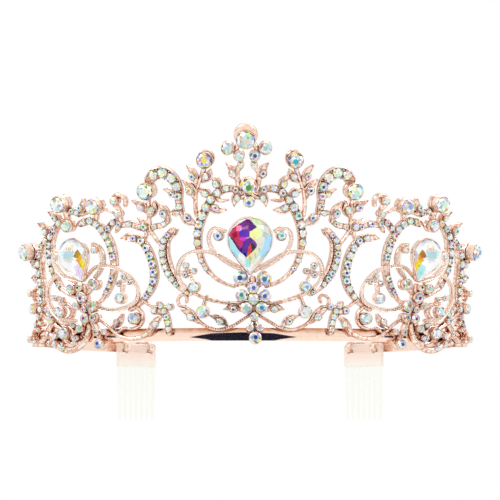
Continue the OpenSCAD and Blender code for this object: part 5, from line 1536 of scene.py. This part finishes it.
PEAR_D, SIDE_LEAN = 3.15, math.radians(18)
pear_at = [0, 28]
pear_on("center_pear", spot(*pear_at, PEAR_D), pear_w, pear_l, center_facets, "#F2F8F8")
tip_codes = {"left": "#E4D8F6", "right": "#B6F0F2"}
for word, side in SIDES:
    pear_on(f"{word}_pear", spun(spot(*on_half(side_pear_at, side), PEAR_D), -SIDE_LEAN * side), side_pear_w,
            side_pear_l, side_facets + [(tip_codes[word], side_tip)], "#F4F8F8", side)
print("pears have", FACETS * (len(CORNERS) + 1) + 2, "facets")

# %% [markdown]
# ## The headband
# The band is one flat strip of brass, rolled with a slightly crowned face and bent to the ring.
# A strip like this is a profile drawn along a line, so a third tree does just that.

# %% Strip along the ring
BAND_H, BAND_T, CROWNED, STRIP_STEPS = 3.6, 1.2, 0.22, 400


def risen(points):
    """Points of the flat ring, turned up toward its ends about the strip's upper edge at the front."""
    hold = np.array([0, RING_FRONT, -BAND_H])
    c, s = math.cos(BAND_RISE), math.sin(BAND_RISE)
    return (np.atleast_2d(points) + hold) @ np.array([[1, 0, 0], [0, c, s], [0, -s, c]]) - hold


strip_tree, given = geometry_tree("strip_along_ring", [("Profile", "NodeSocketObject")])
line = add(strip_tree, "GeometryNodeMeshToCurve", {"Mesh": given["Geometry"]})
upright = add(strip_tree, "GeometryNodeSetCurveNormal", {"Curve": line.outputs[0]}, mode="Z_UP")
shape = add(strip_tree, "GeometryNodeObjectInfo", {"Object": given["Profile"]})
outline = add(strip_tree, "GeometryNodeMeshToCurve", {"Mesh": shape.outputs["Geometry"]})
skin = add(strip_tree, "GeometryNodeCurveToMesh", {
    "Curve": upright.outputs[0], "Profile Curve": outline.outputs[0], "Fill Caps": True})
end_tree(strip_tree, given, skin.outputs[0])
rise_steps = np.linspace(-1, 1, 9)
front = [(BAND_T / 2 - CROWNED * y ** 2, BAND_H / 2 * y * 0.97, 0) for y in rise_steps]
back = [(-BAND_T / 2, BAND_H / 2 * y * 0.94, 0) for y in rise_steps[::-1]]
corners = len(front + back)
section = pattern_shape("band_section", front + back, [(i, (i + 1) % corners) for i in range(corners)])
s = np.linspace(-HALF_LEN, HALF_LEN, STRIP_STEPS)
place, _, _, out = stand(s, np.zeros_like(s))
path = risen(place - out * (SOLDER + BAND_T / 2) + np.array([0, 0, BAND_H / 2]))
band = new_shape("headband_strip", path, [(i, i + 1) for i in range(len(path) - 1)])
grow(band, strip_tree, Profile=section, Finish=band_plate)
smooth_skin(band.data)
hand_over(band, ["headband"])
print("band from", *[[round(c / MM, 1) for c in band.bound_box[k]] for k in (0, 6)], "mm")

# %% [markdown]
# ## The combs
# A clear comb hangs in two loops inside each end of the band and swings into the hair.
# Its plate and spine are one moulding. Its teeth are all alike, so the first tree sets them along the plate.

# %% Comb frames and teeth
COMB_W, PLATE, PLATE_T, TEETH, TOOTH_W = 17.0, 6.5, 1.3, 7, 1.7
# where the spine's middle stands on the rear arc: its turn, its distance from the arc's middle and its height
COMB_TURN, COMB_R, SPINE_H = math.radians(40.596), 96.619, 1.8
# height, width and thickness of a tooth, from its root down
TOOTH = [(.6, TOOTH_W, 1.25), (0, TOOTH_W, 1.28), (-5, 1.5, 1.2), (-11, 1.2, 1.05), (-15.5, .98, .85),
         (-16.6, .78, .66), (-17, .4, .3)]
bag = Bag()
bag.shell(np.array([[(thick / 2 * squared(math.cos(a), .6), wide / 2 * squared(math.sin(a), .6), z)
                     for a in turns(10)] for z, wide, thick in TOOTH]))
tooth = pattern_shape("comb_tooth", np.vstack(bag.points), faces=bag.faces, smooth=True)


def comb_frame(side):
    """Middle of the spine, with the ways outward, along the spine and up."""
    c, s = math.cos(COMB_TURN), math.sin(COMB_TURN)
    middle = np.array([RING_SIDE - REAR_R + COMB_R * c, COMB_R * s, SPINE_H])
    ways = np.array([[c, s, 0], [-s, c, 0], [0, 0, 1]])
    middle, *ways = np.vstack([risen(middle), risen(middle + ways) - risen(middle)])
    flip = np.array([side, 1, 1])
    return [middle * flip] + [way * flip for way in ways]


print("comb spine at", comb_frame(1)[0].round(2), "mm")

# %% Comb plates with spines
# the spine's rounded ends: share of half its length, and radius
SPINE = [(-1, .7), (-.985, .95), (-.96, 1.08), (-.9, 1.1), (.9, 1.1), (.96, 1.08), (.985, .95), (1, .7)]
# two notches in the plate's upper edge leave room for the loops
PLATE_LINE = [(-8.5, 0), (-7.05, 0), (-7.05, -2.15), (-4.45, -2.15), (-4.45, 0), (4.45, 0), (4.45, -2.15),
              (7.05, -2.15), (7.05, 0), (8.5, 0), (8.5, -PLATE), (-8.5, -PLATE)]
pitch = (COMB_W - TOOTH_W) / (TEETH - 1)
for word, side in SIDES:
    middle, outer, spine, up = comb_frame(side)
    frames = [(middle + spine * (-COMB_W / 2 + TOOTH_W / 2 + i * pitch) - up * PLATE, outer,
               np.cross(up, outer), up) for i in range(TEETH)]
    set_many(f"{word}_comb_teeth", tooth, tooth_plastic, frames, [1.0] * TEETH, [],
             f"{word}_comb")
    bag = Bag()
    a = turns(16)[:, None]
    ring = np.cos(a) * outer + np.sin(a) * up
    bag.shell(np.array([middle + spine * COMB_W / 2 * y + ring * r for y, r in SPINE]))
    bag.shell(np.array([[middle + spine * y + up * z + outer * t for y, z in PLATE_LINE]
                        for t in (-PLATE_T / 2, PLATE_T / 2)]))
    bag_piece(f"{word}_comb_plate", bag, plate_plastic, [f"{word}_comb"], f"{word}_comb")
    # the loops are the solids themselves, plated
    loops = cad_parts[f"{word}_comb_loops"].data
    loops.materials.clear()
    loops.materials.append(polished_plate)
print("combs with", TEETH, "teeth each")

# %% Put the pattern shapes away
for shape in (cut_stone, rim, bead, section, tooth):
    bpy.data.objects.remove(shape)
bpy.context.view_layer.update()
